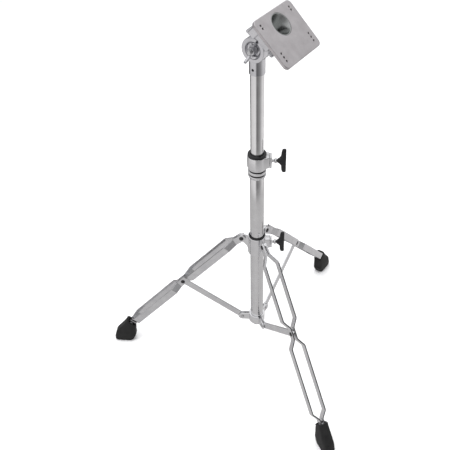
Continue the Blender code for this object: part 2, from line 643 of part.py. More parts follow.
def tilter(slider):
    """The socket on the upper tube, with its disc, and everything that tilts on it."""
    height = TILT_HEIGHT - UPPER_BOTTOM
    turn = Matrix.Rotation(radians(PLATE_FACING), 4, "Z")
    swivel = empty("tilter_swivel", slider, Matrix.Translation((0, 0, height)) @ turn)
    low = SLEEVE_BOTTOM - TILT_HEIGHT
    sleeve = ((0, low), (SLEEVE_RADIUS - 1 * MM, low), (SLEEVE_RADIUS, low + 1.4 * MM), (SLEEVE_RADIUS, -10 * MM))
    sleeve += ((0, -10 * MM),)
    base = piece("tilter_base", turned(sleeve), FINISH["chrome"], swivel)
    near, far = DISC_NEAR, DISC_FAR
    disc = (
        (0, far + 3 * MM),
        (DISC_RADIUS, far + 3 * MM),
        (DISC_RADIUS, near + 1.8 * MM),
        (DISC_RADIUS - 0.6 * MM, near + 0.6 * MM),
        (DISC_RADIUS - 2 * MM, near),
        (15.2 * MM, near),
        (14.2 * MM, near + 0.6 * MM),
        (12.5 * MM, near + 4 * MM),
        (0, near + 4 * MM),
    )
    combine(base, helper("tilter_disc", turned(disc, ROUND_STEPS, ALONG_Y), swivel), "UNION")
    swing = rod(DISC_RADIUS + 0.8 * MM, far, 40 * MM, ROUND_STEPS, ALONG_Y)
    combine(base, helper("tilter_swing", swing, swivel), "DIFFERENCE")
    socket = rod(UPPER_RADIUS + GAP, low - 5 * MM, UPPER_TOP - TILT_HEIGHT + GAP, ROUND_STEPS)
    combine(base, helper("tilter_socket", socket, swivel), "DIFFERENCE")
    bolt_drill = rod(PIVOT_BOLT_RADIUS + GAP, -40 * MM, 40 * MM, turn=ALONG_Y)
    combine(base, helper("tilter_base_bolt_hole", bolt_drill, swivel), "DIFFERENCE")
    screw_at = SET_SCREW_HEIGHT - TILT_HEIGHT
    screw_hole = rod(2.5 * MM, -20 * MM, -8 * MM, 18, ALONG_Y, at=(0, 0, screw_at))
    combine(base, helper("tilter_set_screw_hole", screw_hole, swivel), "DIFFERENCE")
    outer, inner = -SLEEVE_RADIUS + 0.2 * MM, -UPPER_RADIUS - GAP
    screw = ((0, outer + 0.9 * MM), (1.1 * MM, outer + 0.9 * MM), (1.1 * MM, outer), (2.2 * MM, outer))
    screw += ((2.2 * MM, inner), (0, inner))
    piece("tilter_set_screw", turned(screw, SMALL_STEPS, ALONG_Y, (0, 0, screw_at)), FINISH["steel"], swivel)
    wing_nut(swivel)
    arm(swivel)


def wing_nut(swivel):
    """The wing nut that locks the tilt; its wings flare away from the disc."""
    frame = empty("tilter_wing_nut_axis", swivel)
    seat = DISC_NEAR + 4 * MM - GAP
    hub = ((0, seat), (8.2 * MM, seat), (8.6 * MM, seat - 2 * MM), (6.6 * MM, seat - 9 * MM), (5.8 * MM, seat - 10 * MM))
    hub += ((0, seat - 10 * MM),)
    nut = piece("tilter_wing_nut", turned(hub, 20, ALONG_Y), FINISH["chrome"], frame)
    wing = [(4.5, 3.0), (7.0, 2.2), (12.0, 5.5), (18.5, 12.0), (20.5, 15.5), (20.2, 18.2), (18.2, 19.6), (15.8, 18.8)]
    wing += [(12.0, 14.0), (8.0, 10.2), (4.5, 9.4)]
    for label, side in (("a", 1), ("b", -1)):
        paddle = prism([(side * x * MM, -z * MM) for x, z in wing], -1.7 * MM, 1.7 * MM, 0.6 * MM)
        paddle.transform(Matrix.Translation((0, seat, 0)) @ ALONG_Y)
        combine(nut, helper(f"wing_{label}", paddle, frame), "UNION")
    drill = rod(PIVOT_BOLT_RADIUS + GAP, -40 * MM, 10 * MM, turn=ALONG_Y)
    combine(nut, helper("wing_nut_bore", drill, frame), "DIFFERENCE")
    lean = 110  # degrees about the tilt axis, from a level nut to the way it stands
    frame.matrix_local = Matrix.Rotation(radians(lean), 4, "Y")


def arm(swivel):
    """The tilting half: disc and neck casting, pivot bolt, recess cup and mounting plate."""
    tilt = empty("plate_tilt_axis", swivel, Matrix.Rotation(radians(-PLATE_ELEVATION), 4, "Y"))
    disc = (
        (0, 0),
        (DISC_RADIUS, 0),
        (DISC_RADIUS, ARM_DISC_FAR - 1.5 * MM),
        (DISC_RADIUS - 1.5 * MM, ARM_DISC_FAR),
        (0, ARM_DISC_FAR),
    )
    body = piece("tilter_arm", turned(disc, ROUND_STEPS, ALONG_Y), FINISH["chrome"], tilt)
    web = block((2 * MM, 32 * MM), (0.4 * MM, ARM_DISC_FAR - 0.4 * MM), (-15 * MM, 20 * MM), 1 * MM)
    combine(body, helper("arm_web", web, tilt), "UNION")
    neck = [(24.5, -17.0), (66.2, -17.0), (66.2, 25.2), (19.0, 31.0), (17.0, 29.0), (19.0, 18.5), (24.5, 11.0)]
    neck = prism([(x * MM, z * MM) for x, z in neck], -NECK_HALF_WIDTH, NECK_HALF_WIDTH, 1.2 * MM)
    combine(body, helper("arm_neck", neck, tilt), "UNION")

    floor = PLATE_FACE - RECESS_DEPTH
    lip = PLATE_FACE - RECESS_SEAT + GAP
    cup_bottom = floor - 2 * MM
    centre = Matrix.Translation((0, 0, RECESS_CENTRE)) @ ALONG_X
    outer_floor = RECESS_FLOOR_RADIUS + RECESS_WALL
    outer_mouth = RECESS_MOUTH + RECESS_WALL - 0.4 * MM
    slack = 0.6 * MM
    slope = (outer_mouth - outer_floor) / (lip - cup_bottom)
    seat = (
        (0, cup_bottom - GAP),
        (outer_floor + slack, cup_bottom - GAP),
        (outer_mouth + slack + slope * 2 * MM, lip + 2 * MM),
        (0, lip + 2 * MM),
    )
    cut = turned(seat)
    cut.transform(centre)
    combine(body, helper("arm_recess_seat", cut, tilt), "DIFFERENCE")
    screw_drill = rod(3.3 * MM, 26 * MM, PLATE_FACE)
    screw_drill.transform(centre)
    screw_drill = helper("recess_screw_hole", screw_drill, tilt)
    combine(body, screw_drill, "DIFFERENCE")
    bolt_drill = rod(PIVOT_BOLT_RADIUS + GAP, -40 * MM, 40 * MM, turn=ALONG_Y)
    combine(body, helper("arm_bolt_hole", bolt_drill, tilt), "DIFFERENCE")

    cup = (
        (0, cup_bottom),
        (outer_floor, cup_bottom),
        (outer_mouth, lip),
        (RECESS_FLANGE, lip),
        (RECESS_FLANGE, lip + 0.3 * MM),
        (RECESS_FLANGE - 0.3 * MM, lip + 0.6 * MM),
        (RECESS_MOUTH + 0.5 * MM, lip + 0.6 * MM),
        (RECESS_MOUTH, lip + 0.1 * MM),
        (RECESS_FLOOR_RADIUS, floor),
        (0, floor),
    )
    cup = turned(cup, 40)
    cup.transform(centre)
    combine(piece("recess_cup", cup, FINISH["chrome"], tilt), screw_drill, "DIFFERENCE")
    screw = ((0, 30 * MM), (3 * MM, 30 * MM), (3 * MM, floor + GAP), (5.5 * MM, floor + GAP))
    screw += ((5.5 * MM, floor + 3.4 * MM), (4.9 * MM, floor + 4 * MM), (2.4 * MM, floor + 4 * MM))
    screw += ((2.4 * MM, floor + 1.8 * MM), (0, floor + 1.8 * MM))
    screw = turned(screw, SMALL_STEPS)
    screw.transform(centre)
    piece("recess_screw", screw, FINISH["steel"], tilt)

    lock_at = Matrix.Translation((28 * MM, -14 * MM, -17 * MM - GAP)) @ Matrix.Rotation(pi, 4, "X")
    lock = ((0, 0), (3.4 * MM, 0), (3.4 * MM, 3.6 * MM), (5.2 * MM, 4.4 * MM), (5.4 * MM, 9.6 * MM), (4.4 * MM, 11.6 * MM))
    lock = turned(lock + ((2.4 * MM, 12.6 * MM), (0, 13 * MM)), SMALL_STEPS)
    lock.transform(lock_at)
    piece("arm_lock_screw", lock, FINISH["steel"], tilt)
    pivot_bolt(tilt)
    mounting_plate(tilt)


def pivot_bolt(tilt):
    """The bolt through both discs, with its head behind the arm, and the washer between the discs."""
    head, tip = ARM_DISC_FAR + GAP, DISC_NEAR - 12 * MM
    shank = PIVOT_BOLT_RADIUS
    bolt = ((0, tip), (shank - 0.6 * MM, tip), (shank, tip + 0.8 * MM), (shank, head))
    bolt += ((7.5 * MM, head), (7.5 * MM, head + 4.4 * MM), (6.4 * MM, head + 5.4 * MM), (0, head + 5.4 * MM))
    piece("tilter_pivot_bolt", turned(bolt, 18, ALONG_Y), FINISH["steel"], tilt)
    washer = tube(PIVOT_BOLT_RADIUS + GAP, 19 * MM, DISC_FAR + GAP, -GAP, 24)
    washer.transform(ALONG_Y)
    piece("tilter_friction_washer", washer, FINISH["nylon"], tilt)


def mounting_plate(tilt):
    """A shallow pan with round corners, bored for the recess cup and drilled for fixing screws."""
    back = PLATE_FACE - PLATE_DEPTH

    def pan(half_width, half_height, corner, start, end, bevel=0.0):
        shape = prism(rounded_rectangle(half_width, half_height, corner), start, end, bevel)
        # The outline is drawn in XZ and extruded along Y: turn Y to the plate's normal.
        shape.transform(Matrix.Translation((0, 0, PLATE_CENTRE)) @ Matrix.Rotation(radians(-90), 4, "Z"))
        return shape

    plate = piece(
        "mounting_plate",
        pan(PLATE_HALF_WIDTH, PLATE_HALF_HEIGHT, PLATE_CORNER, back, PLATE_FACE, 0.5 * MM),
        FINISH["satin"],
        tilt,
    )
    rim = PLATE_RIM
    hollow = pan(
        PLATE_HALF_WIDTH - rim, PLATE_HALF_HEIGHT - rim, PLATE_CORNER - rim, back - 5 * MM, PLATE_FACE - PLATE_SHEET
    )
    combine(plate, helper("plate_hollow", hollow, tilt), "DIFFERENCE")
    bored, ledge = RECESS_MOUTH + RECESS_WALL + 0.2 * MM, PLATE_FACE - RECESS_SEAT
    opening = ((0, back), (bored, back), (bored, ledge), (RECESS_FLANGE + GAP, ledge))
    opening = turned(opening + ((RECESS_FLANGE + GAP, PLATE_FACE + 5 * MM), (0, PLATE_FACE + 5 * MM)), 40)
    opening.transform(Matrix.Translation((0, 0, RECESS_CENTRE)) @ ALONG_X)
    combine(plate, helper("plate_opening", opening, tilt), "DIFFERENCE")
    for row, height in enumerate(PLATE_HOLE_ROWS):
        for side in (-1, 1):
            at = (0, side * PLATE_HOLE_COLUMN, PLATE_CENTRE + height)
            drill = rod(PLATE_HOLE_RADIUS, back, PLATE_FACE + 5 * MM, 12, ALONG_X, at)
            combine(plate, helper(f"plate_hole_{row}_{side}", drill, tilt), "DIFFERENCE")


# ---------------------------------------------------------------- assembly


def centre_on_floor(stand):
    """Moves the stand so that the box round all its pieces is centred over the origin, on z = 0."""
    bpy.context.view_layer.update()
    graph = bpy.context.evaluated_depsgraph_get()
    low, high = Vector((1e9,) * 3), Vector((-1e9,) * 3)
    for item in bpy.data.objects:
        if item.type != "MESH" or item.hide_render:
            continue
        shape = item.evaluated_get(graph)
        for corner in shape.bound_box:
            point = shape.matrix_world @ Vector(corner)
            low = Vector(map(min, low, point))
            high = Vector(map(max, high, point))
    stand.location = (-(low.x + high.x) / 2, -(low.y + high.y) / 2, -low.z)
    bpy.context.view_layer.update()


clear_scene()
FINISH = {
    "chrome": material("chrome", (0.78, 0.78, 0.80), 1.0, 0.12),
    "satin": material("satin_metal", (0.62, 0.61, 0.62), 1.0, 0.38),
    "steel": material("zinc_steel", (0.60, 0.60, 0.61), 1.0, 0.25),
    "nylon": material("black_nylon", (0.02, 0.02, 0.022), 0.0, 0.40),
    "rubber": material("black_rubber", (0.018, 0.018, 0.018), 0.0, 0.65),
}
STAND = empty("stand")
base_column(STAND)
height_clamp(STAND)
wing_bolt("height_wing_bolt", STAND, CLAMP_BOLT_HEIGHT, BUSHING_RADIUS + 2 * GAP, 33.4 * MM)
leg_collar(STAND)
bottom_bracket(STAND)
for LABEL, AZIMUTH in LEGS:
    strut(LABEL, AZIMUTH, STAND)
tilter(upper_column(STAND))
centre_on_floor(STAND)
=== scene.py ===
"""Looks for the folding tripod stand: fine pieces, materials, floor, light and camera."""

from math import atan2, cos, degrees, hypot, pi, radians, sin

import bmesh
import bpy
from mathutils import Matrix, Vector


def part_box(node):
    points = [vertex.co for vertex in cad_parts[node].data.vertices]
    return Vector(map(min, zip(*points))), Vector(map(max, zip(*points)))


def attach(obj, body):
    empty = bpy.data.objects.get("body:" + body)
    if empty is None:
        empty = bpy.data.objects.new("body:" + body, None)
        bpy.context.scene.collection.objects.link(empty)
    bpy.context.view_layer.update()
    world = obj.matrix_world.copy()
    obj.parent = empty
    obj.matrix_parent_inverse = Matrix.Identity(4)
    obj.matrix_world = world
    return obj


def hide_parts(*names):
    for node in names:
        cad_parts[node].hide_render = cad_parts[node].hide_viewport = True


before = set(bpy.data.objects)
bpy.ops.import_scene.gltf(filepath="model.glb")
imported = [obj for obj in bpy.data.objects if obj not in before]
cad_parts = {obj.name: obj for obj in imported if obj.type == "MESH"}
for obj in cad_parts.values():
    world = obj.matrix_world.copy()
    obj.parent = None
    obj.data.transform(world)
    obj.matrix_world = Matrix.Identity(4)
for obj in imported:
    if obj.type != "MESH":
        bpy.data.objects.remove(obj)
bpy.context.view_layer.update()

MM = 0.001
FINE = 96  # sides of a tube or collar
SMALL = 40  # sides of a bolt, pin or drilled hole
GAP = 0.3 * MM

low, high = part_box("base_tube")
AXIS = Vector(((low.x + high.x) / 2, (low.y + high.y) / 2, 0))
STAND = Matrix.Translation(AXIS)
ALONG_X = Matrix.Rotation(radians(90), 4, "Y")
ALONG_Y = Matrix.Rotation(radians(-90), 4, "X")

LEGS = (("left", 176.67), ("back", 56.67), ("front", -63.33))
LEG_PIVOT = Vector((32.9 * MM, 0, 342.3 * MM))
BEND = Vector((66 * MM, 0, 316.9 * MM))  # where the leg turns a little steeper
WAIST = Vector((167.2 * MM, 0, 206.8 * MM))
STRUT_PIVOT = Vector((33.8 * MM, 0, 100.1 * MM))
TILT_HEIGHT = 769 * MM
TILTER = STAND @ Matrix.Translation((0, 0, TILT_HEIGHT)) @ Matrix.Rotation(radians(-32.5), 4, "Z")
ARM = TILTER @ Matrix.Rotation(radians(-47.3), 4, "Y")

# ---------------------------------------------------------------- materials


class Graph:
    """A small helper for a material's node tree."""

    def __init__(self, name):
        self.material = bpy.data.materials.new(name)
        self.material.use_nodes = True
        self.tree = self.material.node_tree
        self.shader = self.tree.nodes["Principled BSDF"]
        self.place = self.node("ShaderNodeTexCoord").outputs["Object"]

    def node(self, kind, **values):
        made = self.tree.nodes.new(kind)
        for key, value in values.items():
            if key in made.inputs:
                made.inputs[key].default_value = value
            else:
                setattr(made, key, value)
        return made

    def link(self, source, target):
        self.tree.links.new(source, target)

    def noise(self, scale, detail=3.0, stretch=None, roughness=0.5):
        place = self.place
        if stretch:
            mapping = self.node("ShaderNodeMapping")
            mapping.inputs["Scale"].default_value = stretch
            self.link(place, mapping.inputs["Vector"])
            place = mapping.outputs["Vector"]
        made = self.node("ShaderNodeTexNoise", Scale=scale, Detail=detail, Roughness=roughness)
        self.link(place, made.inputs["Vector"])
        return made.outputs["Fac"]

    def spread(self, source, low, high, start=0.3, end=0.7):
        made = self.node("ShaderNodeMapRange")
        made.inputs["From Min"].default_value = start
        made.inputs["From Max"].default_value = end
        made.inputs["To Min"].default_value = low
        made.inputs["To Max"].default_value = high
        self.link(source, made.inputs["Value"])
        return made.outputs["Result"]

    def colours(self, source, stops):
        made = self.node("ShaderNodeValToRGB")
        ramp = made.color_ramp
        fill_ramp(ramp, stops)
        self.link(source, made.inputs["Fac"])
        self.link(made.outputs["Color"], self.shader.inputs["Base Color"])

    def bump(self, layers):
        """Adds (height, strength, distance) layers, one on top of another."""
        normal = None
        for height, strength, distance in layers:
            made = self.node("ShaderNodeBump", Strength=strength, Distance=distance)
            self.link(height, made.inputs["Height"])
            if normal:
                self.link(normal, made.inputs["Normal"])
            normal = made.outputs["Normal"]
        self.link(normal, self.shader.inputs["Normal"])


def fill_ramp(ramp, stops):
    """Sets a new colour ramp: its two own stops become the first and last, and the rest go between."""
    first, *middle, last = stops
    for element, (at, colour) in ((ramp.elements[1], last), (ramp.elements[0], first)):
        element.position, element.color = at, (*colour, 1)
    for at, colour in middle:
        ramp.elements.new(at).color = (*colour, 1)


def plated(name, dark, light, smooth, dull, stretch=None, marks=0.05):
    """Bright plating: faint handling marks, drawn or polished lines and a very fine orange peel."""
    g = Graph(name)
    g.shader.inputs["Metallic"].default_value = 1.0
    handled = g.noise(38, 5)
    g.colours(handled, ((0.35, dark), (0.65, light)))
    fine = g.noise(1.0, 2, stretch or (700, 700, 700))
    mixed = g.node("ShaderNodeMath", operation="MULTIPLY_ADD")
    g.link(g.spread(handled, 0, dull - smooth), mixed.inputs[0])
    mixed.inputs[1].default_value = 1.0
    g.link(g.spread(fine, smooth, smooth + (dull - smooth) * 0.4), mixed.inputs[2])
    g.link(mixed.outputs[0], g.shader.inputs["Roughness"])
    g.bump(((g.noise(190, 2), marks, 0.00006), (fine, marks * 0.6, 0.00003)))
    return g.material


def satin(name):
    """Grained plate: short random streaks, a soft mottle and a dull sheen."""
    g = Graph(name)
    g.shader.inputs["Metallic"].default_value = 1.0
    mottle = g.noise(55, 6, roughness=0.6)
    g.colours(mottle, ((0.3, (0.56, 0.535, 0.545)), (0.7, (0.66, 0.635, 0.645))))
    grain = g.noise(1.0, 3, (260, 260, 1500))
    g.link(g.spread(grain, 0.36, 0.50), g.shader.inputs["Roughness"])
    g.bump(((grain, 0.10, 0.00008), (mottle, 0.06, 0.0003)))
    return g.material


def moulded(name, colour, light, low, high, scale, strength, sheen):
    """Moulded plastic or rubber: fine texture, with slight wear in tone and gloss."""
    g = Graph(name)
    g.shader.inputs["Specular IOR Level"].default_value = sheen
    worn = g.noise(60, 5)
    g.colours(worn, ((0.35, colour), (0.75, light)))
    g.link(g.spread(worn, low, high), g.shader.inputs["Roughness"])
    g.bump(((g.noise(scale, 2), strength, 0.0002), (worn, strength * 0.5, 0.0006)))
    return g.material


FINISH = {
    "tube": plated("drawn_tube_chrome", (0.74, 0.735, 0.74), (0.80, 0.80, 0.805), 0.07, 0.17, (900, 900, 9)),
    "chrome": plated("polished_chrome", (0.76, 0.76, 0.77), (0.83, 0.83, 0.84), 0.05, 0.12),
    "cast": plated("cast_chrome", (0.54, 0.54, 0.56), (0.64, 0.64, 0.66), 0.09, 0.18, marks=0.08),
    # Recess cup: turned metal, its colours darkened to paint the shade inside the plate's recess.
    "cup": plated("turned_cup_painted_shade", (0.34, 0.35, 0.345), (0.46, 0.47, 0.465), 0.14, 0.24, (900, 900, 40), 0.1),
    "pressed": plated("pressed_strip_chrome", (0.70, 0.70, 0.715), (0.79, 0.79, 0.80), 0.11, 0.22, marks=0.08),
    "steel": plated("zinc_fastener", (0.55, 0.555, 0.56), (0.68, 0.68, 0.69), 0.18, 0.32, marks=0.1),
    "blackened": plated("blackened_fastener", (0.05, 0.05, 0.052), (0.09, 0.09, 0.092), 0.25, 0.38, marks=0.1),
    "satin": satin("grained_plate"),
    "nylon": moulded("black_nylon", (0.008, 0.008, 0.009), (0.018, 0.018, 0.019), 0.30, 0.44, 900, 0.12, 0.34),
    "rubber": moulded("black_rubber", (0.009, 0.009, 0.009), (0.020, 0.020, 0.020), 0.48, 0.68, 520, 0.25, 0.26),
}

# ---------------------------------------------------------------- shapes


def tidy(bm):
    bmesh.ops.remove_doubles(bm, verts=bm.verts, dist=0.002 * MM)
    bmesh.ops.dissolve_degenerate(bm, edges=bm.edges, dist=0.001 * MM)
    bm.normal_update()
    bmesh.ops.recalc_face_normals(bm, faces=bm.faces)
    if bm.calc_volume(signed=True) < 0:
        bmesh.ops.reverse_faces(bm, faces=bm.faces)


def made_object(name, bm, matrix=None):
    if matrix is not None:
        bm.transform(matrix)
    tidy(bm)
    mesh = bpy.data.meshes.new(name)
    bm.to_mesh(mesh)
    bm.free()
    made = bpy.data.objects.new(name, mesh)
    bpy.context.scene.collection.objects.link(made)
    return made


def cut(target, others, operation="DIFFERENCE"):
    """Applies Booleans with these shapes, and removes them."""
    helpers = [made_object("helper", bm) for bm in others]
    for other in helpers:
        modifier = target.modifiers.new("cut", "BOOLEAN")
        modifier.operation = operation
        modifier.solver = "EXACT"
        modifier.object = other
        weld = target.modifiers.new("weld", "WELD")
        weld.merge_threshold = 0.004 * MM
    graph = bpy.context.evaluated_depsgraph_get()
    mesh = bpy.data.meshes.new_from_object(target.evaluated_get(graph))
    target.modifiers.clear()
    target.data = mesh
    for other in helpers:
        bpy.data.objects.remove(other, do_unlink=True)
    return target


def add(target, others):
    return cut(target, others, "UNION")


def dress(made, finish, body, node=None, angle=32, weighted=False):
    """Gives a piece its finish and its body, and lets it stand for its CAD node."""
    mesh = made.data
    mesh.materials.clear()
    mesh.materials.append(FINISH[finish])
    mesh.shade_smooth()
    mesh.set_sharp_from_angle(angle=radians(angle))
    if weighted:
        modifier = made.modifiers.new("normals", "WEIGHTED_NORMAL")
        modifier.keep_sharp = True
        modifier.weight = 100
    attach(made, body)
    if node:
        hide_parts(node)
    return made


def eased(points, radius, count=3, closed=False):
    """The outline with its corners rounded."""
    points = [Vector(p) for p in points]
    total = len(points)
    found = [] if closed else [points[0]]
    for i in range(total) if closed else range(1, total - 1):
        before, corner, after = points[i - 1], points[i], points[(i + 1) % total]
        back, on = before - corner, after - corner
        reach = min(radius, 0.46 * back.length, 0.46 * on.length)
        first, last = corner + back.normalized() * reach, corner + on.normalized() * reach
        for k in range(count + 1):
            t = k / count
            found.append(first * (1 - t) ** 2 + corner * 2 * t * (1 - t) + last * t * t)
    if not closed:
        found.append(points[-1])
    return found


def turned(profile, steps=FINE, matrix=None, ease=0.0):
    """A lathe shape about Z from (radius, height) points; closed on the axis, or as a ring."""
    ring = profile[0][0] > 0
    if ease:
        profile = eased(profile, ease, closed=ring)
    bm = bmesh.new()
    points = [bm.verts.new((p[0], 0, p[1])) for p in profile]
    edges = [bm.edges.new(pair) for pair in zip(points, points[1:])]
    if ring:
        edges.append(bm.edges.new((points[-1], points[0])))
    bmesh.ops.spin(
        bm, geom=points + edges, cent=(0, 0, 0), axis=(0, 0, 1), angle=2 * pi, steps=steps, use_merge=True
    )
    bmesh.ops.remove_doubles(bm, verts=bm.verts, dist=0.001 * MM)
    if matrix is not None:
        bm.transform(matrix)
    return bm


def rod(radius, start, end, steps=SMALL, matrix=None):
    return turned(((0, start), (radius, start), (radius, end), (0, end)), steps, matrix)


def prism(outline, start, end, bevel=0.0, segments=3, matrix=None):
    """An (x, z) outline extruded along Y from start to end, with its rims bevelled."""
    bm = bmesh.new()
    face = bm.faces.new([bm.verts.new((p[0], start, p[1])) for p in outline])
    grown = bmesh.ops.extrude_face_region(bm, geom=[face])
    moved = [item for item in grown["geom"] if isinstance(item, bmesh.types.BMVert)]
    bmesh.ops.translate(bm, verts=moved, vec=(0, end - start, 0))
    if bevel:
        rims = [e for e in bm.edges if abs(e.verts[0].co.y - e.verts[1].co.y) < 1e-7]
        bmesh.ops.bevel(bm, geom=rims, offset=bevel, segments=segments, profile=0.5, affect="EDGES")
    if matrix is not None:
        bm.transform(matrix)
    return bm


def block(x, y, z, bevel, matrix=None):
    bm = prism([(x[0], z[0]), (x[1], z[0]), (x[1], z[1]), (x[0], z[1])], y[0], y[1])
    bmesh.ops.bevel(bm, geom=bm.edges[:], offset=bevel, segments=4, profile=0.5, affect="EDGES")
    if matrix is not None:
        bm.transform(matrix)
    return bm


def arc(centre, radius, start, end, count):
    angles = [radians(start + (end - start) * i / (count - 1)) for i in range(count)]
    return [(centre[0] + radius * cos(a), centre[1] + radius * sin(a)) for a in angles]


def rounded_rectangle(half_x, half_z, radius, count=12):
    outline = []
    for sx, sz, start in ((1, 1, 0), (-1, 1, 90), (-1, -1, 180), (1, -1, 270)):
        outline += arc((sx * (half_x - radius), sz * (half_z - radius)), radius, start, start + 90, count)
    return outline


def lofted(rings, caps=True):
    bm = bmesh.new()
    made = [[bm.verts.new(point) for point in ring] for ring in rings]
    for lower, upper in zip(made, made[1:]):
        for i, corner in enumerate(lower):
            following = (i + 1) % len(lower)
            bm.faces.new((corner, lower[following], upper[following], upper[i]))
    if caps:
        bm.faces.new(made[0])
        bm.faces.new(made[-1])
    return bm


def oval(centre, across, along, half_across, half_along, count=40, power=0.62):
    ring = []
    for i in range(count):
        angle = 2 * pi * i / count
        c, s = cos(angle), sin(angle)
        u = half_across * abs(c) ** power * (1 if c > 0 else -1)
        v = half_along * abs(s) ** power * (1 if s > 0 else -1)
        ring.append(centre + across * u + along * v)
    return ring


def smooth(t):
    t = min(max(t, 0), 1)
    return t * t * (3 - 2 * t)


def between(stops, t):
    """A smooth curve through (t, value) stops, for one number."""
    keys = [s[0] for s in stops]
    i = max(0, min(len(stops) - 2, sum(1 for k in keys if k <= t) - 1))
    t0, t1 = keys[i], keys[i + 1]
    v0, v1 = stops[i][1], stops[i + 1][1]
    before = stops[i - 1] if i else stops[i]
    after = stops[i + 2] if i + 2 < len(stops) else stops[i + 1]
    m0 = (v1 - before[1]) / (t1 - before[0]) if t1 > before[0] else 0
    m1 = (after[1] - v0) / (after[0] - t0) if after[0] > t0 else 0
    h = t1 - t0
    u = (t - t0) / h
    return (
        (2 * u**3 - 3 * u**2 + 1) * v0
        + (u**3 - 2 * u**2 + u) * h * m0
        + (3 * u**2 - 2 * u**3) * v1
        + (u**3 - u**2) * h * m1
    )


# ---------------------------------------------------------------- column


def make_column():
    wall = ((13.0 * MM, 87 * MM), (14.3 * MM, 87 * MM), (14.3 * MM, 533 * MM), (13.0 * MM, 533 * MM))
    base = turned(wall, ease=0.4 * MM)
    dress(made_object("lower_tube_fine", base, STAND), "tube", "base", "base_tube")
    foot = 86.7 * MM
    plug = ((0, foot - 3 * MM), (14.3 * MM, foot - 3 * MM), (14.3 * MM, foot), (12.7 * MM, foot))
    plug += ((12.7 * MM, foot + 14 * MM), (0, foot + 14 * MM))
    dress(made_object("lower_tube_plug_fine", turned(plug, ease=1.2 * MM), STAND), "nylon", "base", "base_tube_plug")

    bottom, top = 352 * MM, 740 * MM
    upper = turned(((11.5 * MM, bottom), (12.7 * MM, bottom), (12.7 * MM, top), (11.5 * MM, top)), ease=0.4 * MM)
    dress(made_object("upper_tube_fine", upper, STAND), "tube", "upper_column", "upper_tube")
    plug = ((0, bottom - 9 * MM), (12.7 * MM, bottom - 9 * MM), (12.7 * MM, bottom - GAP), (11.2 * MM, bottom - GAP))
    plug += ((11.2 * MM, bottom + 12 * MM), (0, bottom + 12 * MM))
    dress(
        made_object("upper_tube_plug_fine", turned(plug, ease=1 * MM), STAND),
        "nylon",
        "upper_column",
        "upper_tube_plug",
    )


def make_height_clamp():
    bottom, shoulder, top = 502 * MM, 527 * MM, 552 * MM
    neck, groove, wide = 17.8 * MM, 15.7 * MM, 19.2 * MM
    outer = [(0, bottom), (15.4 * MM, bottom), (neck, bottom + 5 * MM)]
    for centre in (511 * MM, 520.5 * MM):
        outer += [(neck, centre - 2.2 * MM), (groove, centre - 1.3 * MM)]
        outer += [(groove, centre + 1.3 * MM), (neck, centre + 2.2 * MM)]
    outer += [(neck, shoulder - 1.2 * MM), (wide, shoulder + 0.8 * MM), (wide, top), (0, top)]
    body = made_object("height_clamp_fine", turned(outer, ease=0.7 * MM))
    lug = [(24, -9.6), (24, 9.6), (5, 17.8), (-3, 12), (-3, -12), (5, -17.8)]
    lug = eased([(x * MM, y * MM) for x, y in lug], 2 * MM, 4, closed=True)
    upright = Matrix.Rotation(radians(90), 4, "X")
    add(body, [prism(lug, shoulder + 0.6 * MM, top - 0.2 * MM, 1.4 * MM, 4, upright)])
    bore = (
        (0, bottom - 5 * MM),
        (14.6 * MM, bottom - 5 * MM),
        (14.6 * MM, 533.3 * MM),
        (16.9 * MM, 533.3 * MM),
        (16.9 * MM, top + 5 * MM),
        (0, top + 5 * MM),
    )
    hole = rod(3.4 * MM, 8 * MM, 45 * MM, matrix=Matrix.Translation((0, 0, 539 * MM)) @ ALONG_X)
    slit = block((15.5 * MM, 30 * MM), (-0.6 * MM, 0.6 * MM), (shoulder - 3 * MM, top + 3 * MM), 0.1 * MM)
    cut(body, [turned(bore), hole, slit])
    body.data.transform(STAND)
    dress(body, "chrome", "base", "height_clamp_body", weighted=True)

    for centre in (511 * MM, 520.5 * MM):  # black bands in the grooves
        band = ((15.8 * MM, centre - 1.2 * MM), (17.1 * MM, centre - 1.2 * MM), (17.1 * MM, centre + 1.2 * MM))
        band += ((15.8 * MM, centre + 1.2 * MM),)
        dress(made_object("height_clamp_band", turned(band, ease=0.4 * MM), STAND), "nylon", "base")

    flange = 552.3 * MM
    bushing = ((13.0 * MM, 533.6 * MM), (16.6 * MM, 533.6 * MM), (16.6 * MM, flange), (18.2 * MM, flange))
    bushing += ((18.2 * MM, 556.6 * MM), (13.0 * MM, 556.6 * MM))
    dress(
        made_object("height_bushing_fine", turned(bushing, ease=1.1 * MM), STAND),
        "nylon",
        "base",
        "height_clamp_bushing",
    )
    nut_plate("height_nut_fine", (24.3, 28.2), 9, (527, 551.6), 539, "base", "height_clamp_nut")
    t_bolt("height", 539 * MM, 17.2 * MM, 33.4 * MM, "height_clamp_bolt", "height_wing_bolt")


def nut_plate(name, x, half, z, height, body, node):
    shape = made_object(name, block((x[0] * MM, x[1] * MM), (-half * MM, half * MM), (z[0] * MM, z[1] * MM), 1.0 * MM))
    boss = rod(5.2 * MM, (x[0] + 0.5) * MM, (x[1] + 0.9) * MM, matrix=Matrix.Translation((0, 0, height * MM)) @ ALONG_X)
    add(shape, [boss])
    cut(shape, [rod(3.4 * MM, 8 * MM, 45 * MM, matrix=Matrix.Translation((0, 0, height * MM)) @ ALONG_X)])
    shape.data.transform(STAND)
    dress(shape, "chrome", body, node, weighted=True)


